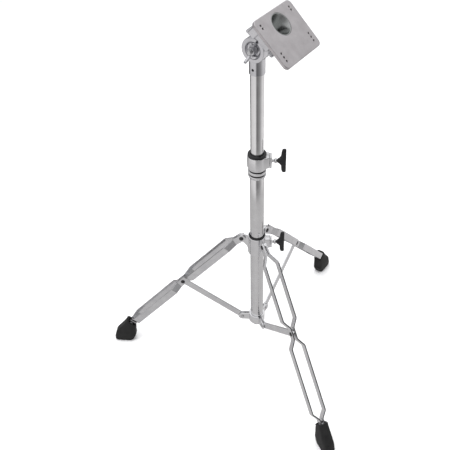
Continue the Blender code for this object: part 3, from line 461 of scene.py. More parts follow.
def t_bolt(label, height, tip, hub, body, node):
    """A clamp bolt along +X: threaded shank and round boss, with a moulded T handle on its end."""
    place = STAND @ Matrix.Translation((0, 0, height))
    cross = hub + 17 * MM
    profile = [(0, tip), (2.2 * MM, tip), (2.7 * MM, tip + 0.6 * MM)]
    at = tip + 1.0 * MM
    while at < hub - 1.6 * MM:  # thread
        profile += [(2.95 * MM, at), (2.6 * MM, at + 0.5 * MM)]
        at += 1.0 * MM
    profile += [(3.0 * MM, hub - GAP), (4.0 * MM, hub), (5.2 * MM, hub + 1.2 * MM), (5.4 * MM, hub + 2.8 * MM)]
    profile += [(4.8 * MM, hub + 4.6 * MM), (3.6 * MM, hub + 6 * MM), (3 * MM, hub + 6.4 * MM)]
    profile += [(3 * MM, cross + 1 * MM), (0, cross + 1 * MM)]
    bolt = made_object(f"{label}_bolt_fine", turned(profile, SMALL, ALONG_X, 0.3 * MM), place)
    dress(bolt, "chrome", body, node)
    neck = ((0, hub + 6.8 * MM), (4.7 * MM, hub + 6.8 * MM), (5.2 * MM, hub + 7.6 * MM), (5.6 * MM, cross - 3 * MM))
    handle = made_object(f"{label}_handle_fine", handle_shape(cross))
    add(handle, [turned(neck + ((0, cross),), SMALL, ALONG_X, 0.5 * MM)])
    cut(handle, [rod(3.3 * MM, hub, cross + 1.3 * MM, matrix=ALONG_X)])
    handle.data.transform(place)
    dress(handle, "nylon", body, f"{node}_handle", angle=42)


def handle_shape(cross):
    """Two finger paddles: a straight outer face, an inner edge that swells to the boss, and fine ribs."""
    rings = []
    outer, reach, count = cross + 5.6 * MM, 26.2 * MM, 56
    depths = ((0, 7.6), (0.2, 6.9), (0.38, 5.2), (0.7, 4.7), (0.9, 4.1), (0.97, 3.2), (1, 1.9))
    widths = ((0, 4.9), (0.2, 4.8), (0.38, 4.4), (0.7, 4.0), (0.9, 3.5), (0.97, 2.8), (1, 1.7))
    for i in range(-count, count + 1):
        t = abs(i) / count
        t = 1 - (1 - t) ** 1.5
        deep, wide = between(depths, t) * MM, between(widths, t) * MM
        shift = 0.9 * MM * smooth((t - 0.9) / 0.1)
        centre = Vector((outer - shift - deep, 0, reach * t * (1 if i > 0 else -1)))
        ring = oval(centre, Vector((1, 0, 0)), Vector((0, 1, 0)), deep, wide, 64, 0.72)
        ribbed = 0.22 * MM * smooth((t - 0.3) / 0.06) * smooth((0.9 - t) / 0.06)
        waves = [ribbed * (0.5 + 0.5 * cos(2 * pi * k / 4)) for k in range(len(ring))]
        rings.append([p + (centre - p).normalized() * wave for p, wave in zip(ring, waves)])
    return lofted(rings)


# ---------------------------------------------------------------- legs

BEND_AT = (BEND - LEG_PIVOT).length
WAIST_AT = BEND_AT + (WAIST - BEND).length
FOOT_PIN_AT = 394 * MM
STRIP_TOP, STRIP_END = -8.2 * MM, 403 * MM
STRIP_HALF, STRIP_THICK = 8 * MM, 3.2 * MM
PINCHES = ((0, 15 * MM, 27 * MM), (WAIST_AT, 10 * MM, 22 * MM), (FOOT_PIN_AT, 10 * MM, 19 * MM))
PINCH_OUTER, SPREAD_OUTER = 5.1 * MM, 16.6 * MM


def leg_place(azimuth):
    return STAND @ Matrix.Rotation(radians(azimuth), 4, "Z")


def leg_path(distance):
    """The middle of the pair of strips this far from the leg pivot, and the way along and square to it."""
    bend, waist = BEND - LEG_PIVOT, WAIST - LEG_PIVOT
    upper, lower = bend.normalized(), (waist - bend).normalized()
    centre = upper * distance if distance < BEND_AT else bend + lower * (distance - BEND_AT)
    along = upper.lerp(lower, smooth((distance - BEND_AT) / (6 * MM) + 0.5)).normalized()
    return centre, along, Vector((-along.z, 0, along.x))


def ramp(t, soft=0.22):
    """0 to 1 in a straight line with a short curve at each end."""
    t = min(max(t, 0), 1)
    speed = 1 / (1 - soft)
    if t < soft:
        return speed * t * t / (2 * soft)
    if t > 1 - soft:
        return 1 - speed * (1 - t) ** 2 / (2 * soft)
    return speed * (t - soft / 2)


def spread_share(distance):
    return min(ramp((abs(distance - centre) - half) / bend) for centre, half, bend in PINCHES)


def strip_shape(side):
    """A flat bar with rolled edges and crisp bends, relative to the leg pivot."""
    sideways = Vector((0, side, 0))
    stations = {STRIP_TOP + 6 * MM * (1 - cos(pi / 2 * i / 10)) for i in range(11)}
    stations |= {STRIP_TOP + 6 * MM + (STRIP_END - STRIP_TOP - 6 * MM) * i / 60 for i in range(61)}
    for centre, half, bend in PINCHES:
        for i in range(-2, 27):
            stations |= {centre + half + bend * i / 24, centre - half - bend * i / 24}
    stations |= {BEND_AT + i * MM for i in range(-4, 5)}
    stations = sorted(d for d in stations if STRIP_TOP <= d <= STRIP_END)
    stations = [d for i, d in enumerate(stations) if not i or d - stations[i - 1] > 0.05 * MM]
    rings = []
    step = 0.5 * MM
    for distance in stations:
        centre, along, across = leg_path(distance)
        outer = PINCH_OUTER + (SPREAD_OUTER - PINCH_OUTER) * spread_share(distance)
        slope = (spread_share(distance + step) - spread_share(distance - step)) / (2 * step)
        slope *= SPREAD_OUTER - PINCH_OUTER
        inward = (along * slope - sideways).normalized()
        end = min((distance - STRIP_TOP) / (6 * MM), 1)
        half = STRIP_HALF * (0.42 + 0.58 * (end * (2 - end)) ** 0.5)
        outline = eased([(-half, 0), (half, 0), (half, STRIP_THICK), (-half, STRIP_THICK)], 0.8 * MM, 5, closed=True)
        middle = centre + sideways * outer
        rings.append([middle + across * p[0] + inward * p[1] for p in outline])
    return lofted(rings)


def rivet_shape(radius, head_radius, inside, head, half=None):
    """A domed rivet along Y; with half, only the head on that side and its stub."""
    far = inside + head
    dome = [(head_radius * sin(a), inside + head * (0.25 + 0.75 * cos(a))) for a in (radians(9 * i) for i in range(11))]
    if half:
        profile = [(0, 2.1 * MM), (radius, 2.1 * MM), (radius, inside), (head_radius, inside)]
        profile += list(reversed(dome[1:])) + [(0, far)]
        turn = ALONG_Y if half > 0 else Matrix.Rotation(pi, 4, "Z") @ ALONG_Y
        return turned(profile, SMALL, turn)
    top = [(0, far)] + dome[1:] + [(head_radius, inside), (radius, inside)]
    return turned(top + [(r, -y) for r, y in reversed(top)], SMALL, ALONG_Y)


FOOT_SECTIONS = (  # radius, height, tilt in degrees, half length, half width
    (303.5, 61.0, 42.6, 12.8, 10.3),
    (307.5, 50.0, 36, 15.5, 11.4),
    (313.0, 38.0, 27, 18.5, 12.3),
    (320.0, 24.0, 14, 24.2, 13.0),
    (325.0, 10.0, 4, 24.0, 13.2),
    (326.5, 3.2, 0, 22.5, 12.2),
    (326.5, 0.0, 0, 20.0, 10.0),
)


def foot_shape():
    """The rubber boot: lipped mouth, flat sides with clear ridges, two grooves above the sole."""
    count = 96

    def section(t):
        t = min(max(t * 6, 0), 6)
        i = min(int(t), 5)
        return [a + (b - a) * (t - i) for a, b in zip(FOOT_SECTIONS[i], FOOT_SECTIONS[i + 1])]

    rings = []
    for i in range(count + 1):
        t = i / count
        soft = 0.012 if 0 < i < count else 0
        around = zip(section(t - soft), section(t + soft))
        radius, height, tilt, half_length, half_width = ((a + b) / 2 for a, b in around)
        groove = sum(max(0, 1 - abs(height - g) / 0.8) for g in (7.0, 10.5)) * 0.5
        lip = 0.7 * smooth(1 - abs(t - 0.03) / 0.03)
        centre = Vector((radius * MM, 0, height * MM)) - LEG_PIVOT
        leaning = Vector((cos(radians(tilt)), 0, sin(radians(tilt))))
        grow = (lip - groove) * MM
        rings.append(
            oval(centre, leaning, Vector((0, 1, 0)), half_length * MM + grow, half_width * MM + grow, 72, 0.42)
        )
    centre, along, leaning = leg_path(FOOT_PIN_AT)
    mouth = Vector((303.5 * MM, 0, 61.0 * MM)) - LEG_PIVOT
    mouth = centre + along * (mouth - centre).dot(along)
    pocket = []
    for depth, wider in ((0, 0.5), (0.6, 0.15), (1.4, 0), (16.4, 0), (17, -0.4)):
        at = mouth + along * depth * MM
        pocket.append(oval(at, leaning, Vector((0, 1, 0)), (9.0 + wider) * MM, (7.2 + wider) * MM, 72, 0.3))
    return lofted(list(reversed(pocket)) + rings)


def make_legs():
    strips = {side: strip_shape(side) for side in (1, -1)}
    for name, azimuth in LEGS:
        body = f"leg_{name}"
        place = leg_place(azimuth)
        hinge = place @ Matrix.Translation(LEG_PIVOT)
        for label, side in (("outer", 1), ("inner", -1)):
            strip = made_object(f"{body}_{label}_strip_fine", strips[side].copy(), hinge)
            dress(strip, "pressed", body, f"{body}_{label}_strip", angle=40)
            stud = rivet_shape(3 * MM, 4.6 * MM, PINCH_OUTER + GAP, 1.4 * MM, side)
            stud = made_object(f"{body}_{label}_waist_rivet_fine", stud, place @ Matrix.Translation(WAIST))
            dress(stud, "blackened", body, f"{body}_{label}_waist_rivet")
        foot = made_object(f"{body}_foot_fine", foot_shape(), hinge)
        dress(foot, "rubber", body, f"{body}_foot", angle=50)
        rivet = rivet_shape(2.5 * MM, 4.0 * MM, PINCH_OUTER + GAP, 1.1 * MM)
        rivet = made_object(f"{body}_foot_rivet_fine", rivet, hinge @ Matrix.Translation(leg_path(FOOT_PIN_AT)[0]))
        dress(rivet, "steel", body, f"{body}_foot_rivet")
        pin = rivet_shape(3 * MM, 4.6 * MM, PINCH_OUTER + GAP, 1.4 * MM)
        pin = made_object(f"{body}_pivot_pin_fine", pin, hinge)
        dress(pin, "blackened", "collar", f"{body}_pivot_pin")


def make_struts():
    reach = WAIST - STRUT_PIVOT
    length, lift = hypot(reach.x, reach.z), degrees(atan2(reach.z, reach.x))
    for name, azimuth in LEGS:
        outline = arc((0, 0), 7.45 * MM, 90, 270, 25) + arc((length, 0), 7.45 * MM, -90, 90, 25)
        bar = prism(outline, -1.6 * MM, 1.6 * MM, 0.6 * MM, 3, Matrix.Rotation(radians(-lift), 4, "Y"))
        bar = made_object(f"strut_{name}_fine", bar)
        drills = [rod(3.3 * MM, -9 * MM, 9 * MM, matrix=Matrix.Translation(at) @ ALONG_Y) for at in (Vector(), reach)]
        cut(bar, drills)
        bar.data.transform(leg_place(azimuth) @ Matrix.Translation(STRUT_PIVOT))
        dress(bar, "pressed", f"strut_{name}", f"strut_{name}", weighted=True)
        pin = rivet_shape(3 * MM, 4.2 * MM, 4.9 * MM, 1.4 * MM)
        pin = made_object(f"strut_{name}_pivot_pin_fine", pin, leg_place(azimuth) @ Matrix.Translation(STRUT_PIVOT))
        dress(pin, "steel", "base", f"strut_{name}_pivot_pin")


# ---------------------------------------------------------------- collar and bracket


def ear_outline():
    pivot = (LEG_PIVOT.x, LEG_PIVOT.z)
    outer = (17.5 * MM, 307.5 * MM)
    outline = [(17.5 * MM, 346 * MM), (21 * MM, 348.6 * MM), (25 * MM, 350.6 * MM)]
    outline += arc(pivot, 9.6 * MM, 95, -65, 25)
    end = outline[-1]
    for i in range(1, 12):
        t = i / 12
        hollow = 5 * MM * 4 * t * (1 - t)
        outline.append(
            (end[0] + (outer[0] - end[0]) * t - hollow * 0.5, end[1] + (outer[1] - end[1]) * t + hollow * 0.8)
        )
    outline.append(outer)
    return outline


def make_collar():
    bottom, top = 305 * MM, 350 * MM
    ring = ((0, bottom), (19 * MM, bottom), (19 * MM, top), (0, top))
    body = made_object("leg_collar_fine", turned(ring, ease=1.1 * MM))
    shapes = [block((6 * MM, 28 * MM), (-8.6 * MM, 8.6 * MM), (321 * MM, 345 * MM), 2 * MM)]
    for _, azimuth in LEGS:
        turn = Matrix.Rotation(radians(azimuth), 4, "Z")
        shapes.append(prism(ear_outline(), -1.6 * MM, 1.6 * MM, 0.6 * MM, 3, turn))
    add(body, shapes)
    hole = rod(3.4 * MM, 8 * MM, 45 * MM, matrix=Matrix.Translation((0, 0, 332 * MM)) @ ALONG_X)
    slit = block((15.5 * MM, 33 * MM), (-0.6 * MM, 0.6 * MM), (312 * MM, 354 * MM), 0.1 * MM)
    cuts = [rod(16.6 * MM, bottom - 5 * MM, top + 5 * MM, FINE), hole, slit]
    for _, azimuth in LEGS:
        turn = Matrix.Rotation(radians(azimuth), 4, "Z") @ Matrix.Translation(LEG_PIVOT) @ ALONG_Y
        cuts.append(rod(3.3 * MM, -12 * MM, 12 * MM, matrix=turn))
    cut(body, cuts)
    body.data.transform(STAND)
    dress(body, "chrome", "collar", "leg_collar", weighted=True)

    inner, sleeve, flange = 14.7 * MM, 16.3 * MM, 350.3 * MM
    bushing = ((inner, 306 * MM), (sleeve, 306 * MM), (sleeve, flange), (17.3 * MM, flange), (17.3 * MM, 352.1 * MM))
    bushing += ((inner, 352.1 * MM),)
    dress(
        made_object("collar_bushing_fine", turned(bushing, ease=0.8 * MM), STAND),
        "nylon",
        "collar",
        "leg_collar_bushing",
    )
    nut_plate("collar_nut_fine", (28.3, 31.6), 7.6, (322, 342.4), 332, "collar", "leg_collar_nut")
    t_bolt("collar", 332 * MM, 16.9 * MM, 35.5 * MM, "collar_clamp_bolt", "collar_wing_bolt")


def make_bracket():
    bottom, top, wide = 89.4 * MM, 112 * MM, 18.2 * MM
    barrel = ((0, bottom), (wide, bottom), (wide, top), (0, top))
    body = made_object("bottom_bracket_fine", turned(barrel, ease=1.2 * MM))
    pivot = (STRUT_PIVOT.x, STRUT_PIVOT.z)
    root = 15.8 * MM
    outline = [(root, top - 1.6 * MM)] + arc(pivot, 9.2 * MM, 90, -90, 29) + [(root, bottom + 1.6 * MM)]
    shapes, cuts = [], [rod(14.6 * MM, bottom - 5 * MM, top + 5 * MM, FINE)]
    for _, azimuth in LEGS:
        turn = Matrix.Rotation(radians(azimuth), 4, "Z")
        for side in (-1, 1):
            faces = sorted((side * 2.0 * MM, side * 4.6 * MM))
            shapes.append(prism(outline, *faces, 0.6 * MM, 3, turn))
        cuts.append(rod(3.3 * MM, -9 * MM, 9 * MM, matrix=turn @ Matrix.Translation(STRUT_PIVOT) @ ALONG_Y))
    add(body, shapes)
    cut(body, cuts)
    body.data.transform(STAND)
    dress(body, "chrome", "base", "bottom_bracket", weighted=True)


# ---------------------------------------------------------------- tilter

DISC_NEAR, DISC_FAR, DISC_RADIUS = -14.8 * MM, -1.6 * MM, 22.5 * MM


def make_tilter_base():
    bottom, wide = -47 * MM, 14.4 * MM
    sleeve = ((0, bottom), (wide, bottom), (wide, -10 * MM), (0, -10 * MM))
    base = made_object("tilter_socket_fine", turned(sleeve, ease=0.9 * MM))
    near, far = DISC_NEAR, DISC_FAR
    disc = (
        (0, far + 3 * MM),
        (DISC_RADIUS, far + 3 * MM),
        (DISC_RADIUS, near),
        (15.6 * MM, near),
        (14.4 * MM, near + 1.2 * MM),
        (12.5 * MM, near + 4 * MM),
        (0, near + 4 * MM),
    )
    add(base, [turned(disc, FINE, ALONG_Y, 1.3 * MM)])
    screw_at = -36 * MM
    cut(
        base,
        [
            rod(DISC_RADIUS + 0.8 * MM, far, 40 * MM, FINE, ALONG_Y),
            rod(13 * MM, bottom - 5 * MM, -28.7 * MM, FINE),
            rod(4.2 * MM, -40 * MM, 40 * MM, matrix=ALONG_Y),
            rod(2.5 * MM, -20 * MM, -8 * MM, 30, Matrix.Translation((0, 0, screw_at)) @ ALONG_Y),
        ],
    )
    base.data.transform(TILTER)
    dress(base, "cast", "tilter_socket", "tilter_base", weighted=True)

    outer, inner = -14.2 * MM, -13.0 * MM
    screw = ((0, outer + 0.9 * MM), (1.15 * MM, outer + 0.9 * MM), (1.15 * MM, outer), (2.2 * MM, outer))
    screw = made_object(
        "tilter_set_screw_fine",
        turned(screw + ((2.2 * MM, inner), (0, inner)), 30, Matrix.Translation((0, 0, screw_at)) @ ALONG_Y, 0.1 * MM),
        TILTER,
    )
    dress(screw, "blackened", "tilter_socket", "tilter_set_screw")


def make_wing_nut():
    seat = DISC_NEAR + 4 * MM - GAP
    hub = ((0, seat), (8.4 * MM, seat), (8.6 * MM, seat - 2.2 * MM), (7.0 * MM, seat - 6 * MM))
    hub += ((6.3 * MM, seat - 9.6 * MM), (0, seat - 10 * MM))
    nut = made_object("tilter_wing_nut_fine", turned(hub, FINE, ALONG_Y, 1.0 * MM))
    wing = [(4.5, 3.0), (7.0, 2.2), (12.0, 5.5), (18.5, 12.0), (20.5, 15.5), (20.2, 18.2), (18.2, 19.6), (15.8, 18.8)]
    wing += [(12.0, 14.0), (8.0, 10.2), (4.5, 9.4)]
    shapes = []
    for side in (1, -1):
        outline = eased([(side * x * MM, -z * MM) for x, z in wing], 2.4 * MM, 4, closed=True)
        shapes.append(
            prism(outline, -2.4 * MM, 2.4 * MM, 1.2 * MM, 4, Matrix.Translation((0, seat, 0)) @ ALONG_Y)
        )
    add(nut, shapes)
    cut(nut, [rod(4.2 * MM, -40 * MM, 10 * MM, matrix=ALONG_Y)])
    nut.data.transform(TILTER @ Matrix.Rotation(radians(110), 4, "Y"))
    dress(nut, "cast", "wing_nut", "tilter_wing_nut", weighted=True)


def make_arm():
    far = 10.5 * MM
    disc = ((0, 0), (DISC_RADIUS, 0), (DISC_RADIUS, far), (0, far))
    body = made_object("tilter_arm_fine", turned(disc, FINE, ALONG_Y, 1.6 * MM))
    neck = [(24.5, -17.0), (66.2, -17.0), (66.2, 25.2), (19.0, 31.0), (17.0, 29.0), (19.0, 18.5), (24.5, 11.0)]
    neck = eased([(x * MM, z * MM) for x, z in neck], 1.6 * MM, 3, closed=True)
    add(
        body,
        [
            block((2 * MM, 32 * MM), (0.4 * MM, far - 0.4 * MM), (-15 * MM, 20 * MM), 1.4 * MM),
            prism(neck, -20 * MM, 20 * MM, 1.0 * MM, 4),
            block((36 * MM, 62 * MM), (-41 * MM, -10 * MM), (10 * MM, 25 * MM), 2 * MM),
        ],
    )
    centre = Matrix.Translation((0, 0, 1.4 * MM)) @ ALONG_X
    seat = ((0, 40.7 * MM), (10.5 * MM, 40.7 * MM), (21.4 * MM, 71.3 * MM), (0, 71.3 * MM))
    cut(
        body,
        [
            turned(seat, FINE, centre),
            rod(3.3 * MM, 26 * MM, 69 * MM, matrix=centre),
            rod(4.2 * MM, -40 * MM, 40 * MM, matrix=ALONG_Y),
        ],
    )
    body.data.transform(ARM)
    dress(body, "cast", "plate_arm", "tilter_arm", weighted=True)

    lip = 68.2 * MM
    cup = (
        (3.3 * MM, 41 * MM),
        (9.9 * MM, 41 * MM),
        (19.7 * MM, lip),
        (20.6 * MM, lip),
        (20.6 * MM, lip + 0.6 * MM),
        (18.9 * MM, lip + 0.6 * MM),
        (8.5 * MM, 43 * MM),
        (3.3 * MM, 43 * MM),
    )
    # The cup's finish holds painted shade: its darkened colours stand for the shade inside the recess.
    cup = made_object("recess_cup_fine", turned(cup, 128, centre, 0.35 * MM), ARM)
    dress(cup, "cup", "plate_arm", "recess_cup")
    screw = ((0, 30 * MM), (3 * MM, 30 * MM), (3 * MM, 43.3 * MM), (5.5 * MM, 43.3 * MM))
    screw += ((5.5 * MM, 47 * MM), (0, 47.3 * MM))
    screw = made_object("recess_screw_fine", turned(screw, 48, centre, 0.5 * MM))
    cut(screw, [rod(2.5 * MM, 45.1 * MM, 50 * MM, 6, centre)])
    screw.data.transform(ARM)
    dress(screw, "steel", "plate_arm", "recess_screw", weighted=True)

    at = Matrix.Translation((28 * MM, -14 * MM, -17.3 * MM)) @ Matrix.Rotation(pi, 4, "X")
    lock = ((0, 0), (3.4 * MM, 0), (3.4 * MM, 3.6 * MM), (5.2 * MM, 4.4 * MM), (5.4 * MM, 9.6 * MM))
    lock += ((4.4 * MM, 11.8 * MM), (2.4 * MM, 12.7 * MM), (0, 13 * MM))
    lock = made_object("arm_lock_screw_fine", turned(lock, 48, at, 0.8 * MM))
    notches = [Matrix.Rotation(radians(20 * i), 4, "Z") @ Matrix.Translation((5.9 * MM, 0, 0)) for i in range(18)]
    cut(lock, [rod(0.75 * MM, 4 * MM, 10.4 * MM, 10, at @ turn) for turn in notches])
    lock.data.transform(ARM)
    dress(lock, "cast", "plate_arm", "arm_lock_screw", weighted=True)

    head, tip = far + GAP, DISC_NEAR - 12 * MM
    bolt = [(0, tip), (3.3 * MM, tip), (3.8 * MM, tip + 0.8 * MM)]
    step = tip + 1.2 * MM
    while step < DISC_NEAR + 2 * MM:
        bolt += [(3.85 * MM, step), (3.5 * MM, step + 0.6 * MM)]
        step += 1.2 * MM
    bolt += [(3.9 * MM, step), (3.9 * MM, head), (7.5 * MM, head), (7.5 * MM, head + 4.6 * MM)]
    bolt += [(6.6 * MM, head + 5.4 * MM), (0, head + 5.4 * MM)]
    bolt = made_object("tilter_bolt_fine", turned(bolt, 48, ALONG_Y, 0.3 * MM))
    cut(bolt, [rod(3.4 * MM, head + 2.2 * MM, head + 9 * MM, 6, ALONG_Y)])
    bolt.data.transform(ARM)
    dress(bolt, "steel", "plate_arm", "tilter_pivot_bolt", weighted=True)
    washer = ((4.2 * MM, DISC_FAR + GAP), (19 * MM, DISC_FAR + GAP), (19 * MM, -GAP), (4.2 * MM, -GAP))
    washer = made_object("tilter_washer_fine", turned(washer, FINE, ALONG_Y, 0.2 * MM), ARM)
    dress(washer, "nylon", "plate_arm", "tilter_friction_washer")


def make_plate():
    """The pan-shaped plate: round corners, soft front edge, bored and countersunk."""
    face, depth, sheet, centre_z = 69 * MM, 6 * MM, 2.5 * MM, -17.2 * MM
    turn = Matrix.Translation((0, 0, centre_z)) @ Matrix.Rotation(radians(-90), 4, "Z")
    plate = made_object(
        "mounting_plate_fine",
        prism(rounded_rectangle(55.8 * MM, 45.6 * MM, 9 * MM, 16), face - depth, face, 1.3 * MM, 5, turn),
    )
    painted_shade_caps = []
    bored = ((0, face - depth), (20.3 * MM, face - depth), (20.3 * MM, face - 1.1 * MM))
    bored += ((20.9 * MM, face - 1.1 * MM), (20.9 * MM, face + 5 * MM), (0, face + 5 * MM))
    inside = rounded_rectangle(53.8 * MM, 43.6 * MM, 7 * MM, 16)
    cuts = [
        prism(inside, face - depth - 5 * MM, face - sheet, 0.6 * MM, 3, turn),
        turned(bored, 128, Matrix.Translation((0, 0, 1.4 * MM)) @ ALONG_X),
    ]
    for row in (34.2, 28.4, -19, -26.2, -33.4):
        for side in (-1, 1):
            at = Matrix.Translation((0, side * 44 * MM, centre_z + row * MM)) @ ALONG_X
            sink = ((0, face - depth), (1.8 * MM, face - depth), (1.8 * MM, face - 0.7 * MM))
            sink += ((2.7 * MM, face + 0.4 * MM), (0, face + 0.4 * MM))
            cuts.append(turned(sink, 28, at))
            # A black cap behind each countersunk hole, there only to paint the shade inside the hole.
            back = face - sheet
            painted_shade_cap = ((0, back - 3.4 * MM), (3.2 * MM, back - 3.4 * MM), (3.4 * MM, back - 0.2 * MM))
            painted_shade_cap += ((1.9 * MM, back - 0.2 * MM), (1.7 * MM, back - 2.8 * MM), (0, back - 2.8 * MM))
            painted_shade_caps.append(turned(painted_shade_cap, 28, at, 0.2 * MM))
    # The black caps are painted shade: they make the holes look dark.
    for number, painted_shade_cap in enumerate(painted_shade_caps):
        dress(made_object(f"plate_painted_shade_cap_{number}", painted_shade_cap, ARM), "nylon", "plate_arm")
    cut(plate, cuts)
    plate.data.transform(ARM)
    dress(plate, "satin", "plate_arm", "mounting_plate", weighted=True)


# ---------------------------------------------------------------- studio


def stage_plane(name, size, location, shader):
    """A level square that isn't part of the object."""
    bm = bmesh.new()
    bmesh.ops.create_grid(bm, x_segments=1, y_segments=1, size=size)
    mesh = bpy.data.meshes.new(name)
    bm.to_mesh(mesh)
    bm.free()
    made = bpy.data.objects.new(name, mesh)
    bpy.context.scene.collection.objects.link(made)
    made.location = location
    mesh.materials.append(shader)
    return made


def area(name, location, size, power):
    """A softbox that lights the stand but isn't mirrored in it."""
    data = bpy.data.lights.new(name, "AREA")
    data.shape = "RECTANGLE"
    data.size, data.size_y = size
    data.energy = power
    made = bpy.data.objects.new(name, data)
    bpy.context.scene.collection.objects.link(made)
    made.location = AXIS + Vector(location)
    target = AXIS + Vector((0, 0, 0.4))
    made.rotation_mode = "QUATERNION"
    made.rotation_quaternion = (made.location - target).to_track_quat("Z", "Y")
    made.visible_glossy = False


# What the plating mirrors of the floor: (degrees round the stand from the front, level)
NEAR_FLOOR = (
    (-180, 0.06),
    (-156, 0.14),
    (-130, 0.52),
    (-20, 0.60),
    (30, 0.56),
    (90, 0.58),
    (140, 0.64),
    (162, 0.10),
)
FAR_FLOOR = (
    (-180, 0.08),
    (-128, 0.18),
    (-104, 0.74),
    (-24, 0.90),
    (-8, 0.22),
    (2, 0.19),
    (32, 0.30),
    (48, 0.38),
    (65, 0.57),
    (84, 0.80),
    (104, 0.85),
    (150, 0.8),
    (168, 0.08),
)


def make_floor():
    g = Graph("pale_floor")
    g.colours(g.noise(3, 3), ((0.3, (0.86, 0.86, 0.865)), (0.7, (0.89, 0.89, 0.895))))
    g.shader.inputs["Roughness"].default_value = 0.8
    g.shader.inputs["Specular IOR Level"].default_value = 0.2
    g.bump(((g.noise(120, 2), 0.05, 0.001),))
    floor = stage_plane("floor", 30, (AXIS.x, AXIS.y, -0.0004), g.material)
    floor.visible_glossy = False

    # What the plating mirrors in place of the floor: a sheet with bands of grey round the stand.
    mirror = bpy.data.materials.new("mirrored_floor")
    mirror.use_nodes = True
    tree = mirror.node_tree
    tree.nodes.clear()
    place = tree.nodes.new("ShaderNodeTexCoord").outputs["Object"]

    def calc(operation, first, second=None):
        made = tree.nodes.new("ShaderNodeMath")
        made.operation = operation
        for socket, value in zip(made.inputs, (first, second)):
            if isinstance(value, (int, float)):
                socket.default_value = value
            elif value is not None:
                tree.links.new(value, socket)
        return made.outputs[0]

    def bands(factor, stops):
        made = tree.nodes.new("ShaderNodeValToRGB")
        shades = [((turn + 180) / 360, (level, level * 0.985, level * 0.99)) for turn, level in stops]
        fill_ramp(made.color_ramp, shades)
        tree.links.new(factor, made.inputs["Fac"])
        return made.outputs["Color"]

    split = tree.nodes.new("ShaderNodeSeparateXYZ")
    tree.links.new(place, split.inputs["Vector"])
    x, y = split.outputs["X"], split.outputs["Y"]
    turn = calc("ARCTAN2", x, calc("MULTIPLY", y, -1.0))  # 0 in front of the stand, positive to its right
    turn = calc("ADD", calc("MULTIPLY", turn, 1 / (2 * pi)), 0.5)
    reach = calc("SQRT", calc("ADD", calc("MULTIPLY", x, x), calc("MULTIPLY", y, y)))
    far = tree.nodes.new("ShaderNodeMapRange")
    far.interpolation_type = "SMOOTHSTEP"
    far.inputs["From Min"].default_value, far.inputs["From Max"].default_value = 0.74, 0.90
    tree.links.new(reach, far.inputs["Value"])
    inner = bands(turn, NEAR_FLOOR)
    outer = bands(turn, FAR_FLOOR)
    blend = tree.nodes.new("ShaderNodeMix")
    blend.data_type = "RGBA"
    tree.links.new(far.outputs["Result"], blend.inputs["Factor"])
    for socket, value in (("A", inner), ("B", outer)):
        tree.links.new(value, next(s for s in blend.inputs if s.name == socket and s.type == "RGBA"))
    lit = next(s for s in blend.outputs if s.type == "RGBA")
    edge = tree.nodes.new("ShaderNodeMapRange")
    edge.interpolation_type = "SMOOTHSTEP"
    edge.inputs["From Min"].default_value, edge.inputs["From Max"].default_value = 2.2, 3.2
    tree.links.new(reach, edge.inputs["Value"])
    fade = tree.nodes.new("ShaderNodeMix")
    fade.data_type = "RGBA"
    tree.links.new(edge.outputs["Result"], fade.inputs["Factor"])
    tree.links.new(lit, next(s for s in fade.inputs if s.name == "A" and s.type == "RGBA"))
    next(s for s in fade.inputs if s.name == "B" and s.type == "RGBA").default_value = (0.32, 0.315, 0.318, 1)
    colour = next(s for s in fade.outputs if s.type == "RGBA")
    glow = tree.nodes.new("ShaderNodeEmission")
    tree.links.new(colour, glow.inputs["Color"])
    tree.links.new(glow.outputs["Emission"], tree.nodes.new("ShaderNodeOutputMaterial").inputs["Surface"])
    sheet = stage_plane("mirrored_floor", 6, (AXIS.x, AXIS.y, -0.0012), mirror)
    sheet.visible_camera = sheet.visible_diffuse = sheet.visible_shadow = False


# The sky that the plating mirrors: (height of the direction, level)
SKY = ((0.0, 0.36), (0.16, 0.40), (0.32, 0.56), (0.46, 0.68), (0.70, 1.0), (1.0, 1.1))
SOFTBOXES = (  # name, place from the stand's foot, size, power
    ("top_softbox", (-0.4, -0.3, 2.6), (1.6, 1.6), 42),
    ("right_softbox", (2.0, -0.9, 1.5), (0.9, 1.6), 16),
    ("left_softbox", (-2.1, -1.0, 1.3), (0.7, 1.6), 12),
    ("rear_softbox", (0.3, 2.0, 2.6), (1.6, 1.0), 22),
)


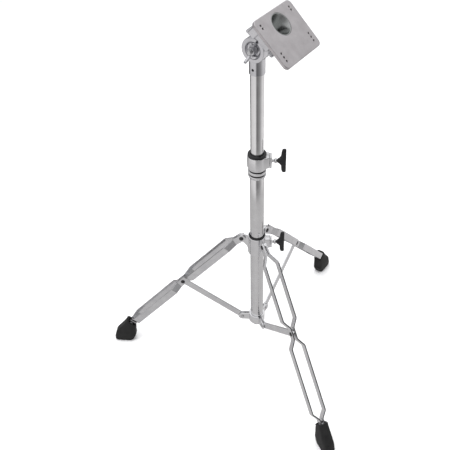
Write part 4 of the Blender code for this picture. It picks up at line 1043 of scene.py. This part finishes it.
def make_light():
    world = bpy.data.worlds.new("studio")
    bpy.context.scene.world = world
    world.use_nodes = True
    tree = world.node_tree
    back = tree.nodes["Background"]
    place = tree.nodes.new("ShaderNodeTexCoord").outputs["Generated"]
    split = tree.nodes.new("ShaderNodeSeparateXYZ")
    tree.links.new(place, split.inputs["Vector"])
    ramp = tree.nodes.new("ShaderNodeValToRGB")
    fill_ramp(ramp.color_ramp, [(at, (level, level, level * 1.01)) for at, level in SKY])
    tree.links.new(split.outputs["Z"], ramp.inputs["Fac"])
    # A dark flag to the right of the front: it draws the dark line along the top edge of the bars.
    aim = tree.nodes.new("ShaderNodeVectorMath")
    aim.operation = "DOT_PRODUCT"
    tree.links.new(place, aim.inputs[0])
    aim.inputs[1].default_value = Vector((0.66, -0.57, 0.49)).normalized()
    flag = tree.nodes.new("ShaderNodeMapRange")
    flag.interpolation_type = "SMOOTHSTEP"
    flag.inputs["From Min"].default_value = cos(radians(29))
    flag.inputs["From Max"].default_value = cos(radians(22))
    tree.links.new(aim.outputs["Value"], flag.inputs["Value"])
    shade = tree.nodes.new("ShaderNodeMix")
    shade.data_type = "RGBA"
    tree.links.new(flag.outputs["Result"], shade.inputs["Factor"])
    tree.links.new(ramp.outputs["Color"], next(s for s in shade.inputs if s.name == "A" and s.type == "RGBA"))
    next(s for s in shade.inputs if s.name == "B" and s.type == "RGBA").default_value = (0.03, 0.03, 0.032, 1)
    tree.links.new(next(s for s in shade.outputs if s.type == "RGBA"), back.inputs["Color"])
    back.inputs["Strength"].default_value = 1.0
    for name, location, size, power in SOFTBOXES:
        area(name, location, size, power)


def make_camera():
    data = bpy.data.cameras.new("camera")
    data.sensor_width = 36
    data.lens = 54.25
    data.shift_x, data.shift_y = -0.0686, 0.0793
    data.clip_start, data.clip_end = 0.05, 60
    made = bpy.data.objects.new("camera", data)
    bpy.context.scene.collection.objects.link(made)
    made.location = AXIS + Vector((-0.0023, -1.0848, 1.2863))
    made.rotation_euler = (radians(90 - 42.96), 0, 0)
    bpy.context.scene.camera = made


make_column()
make_height_clamp()
make_legs()
make_struts()
make_collar()
make_bracket()
make_tilter_base()
make_wing_nut()
make_arm()
make_plate()
make_floor()
make_light()
make_camera()
bpy.context.scene.view_settings.view_transform = "Standard"
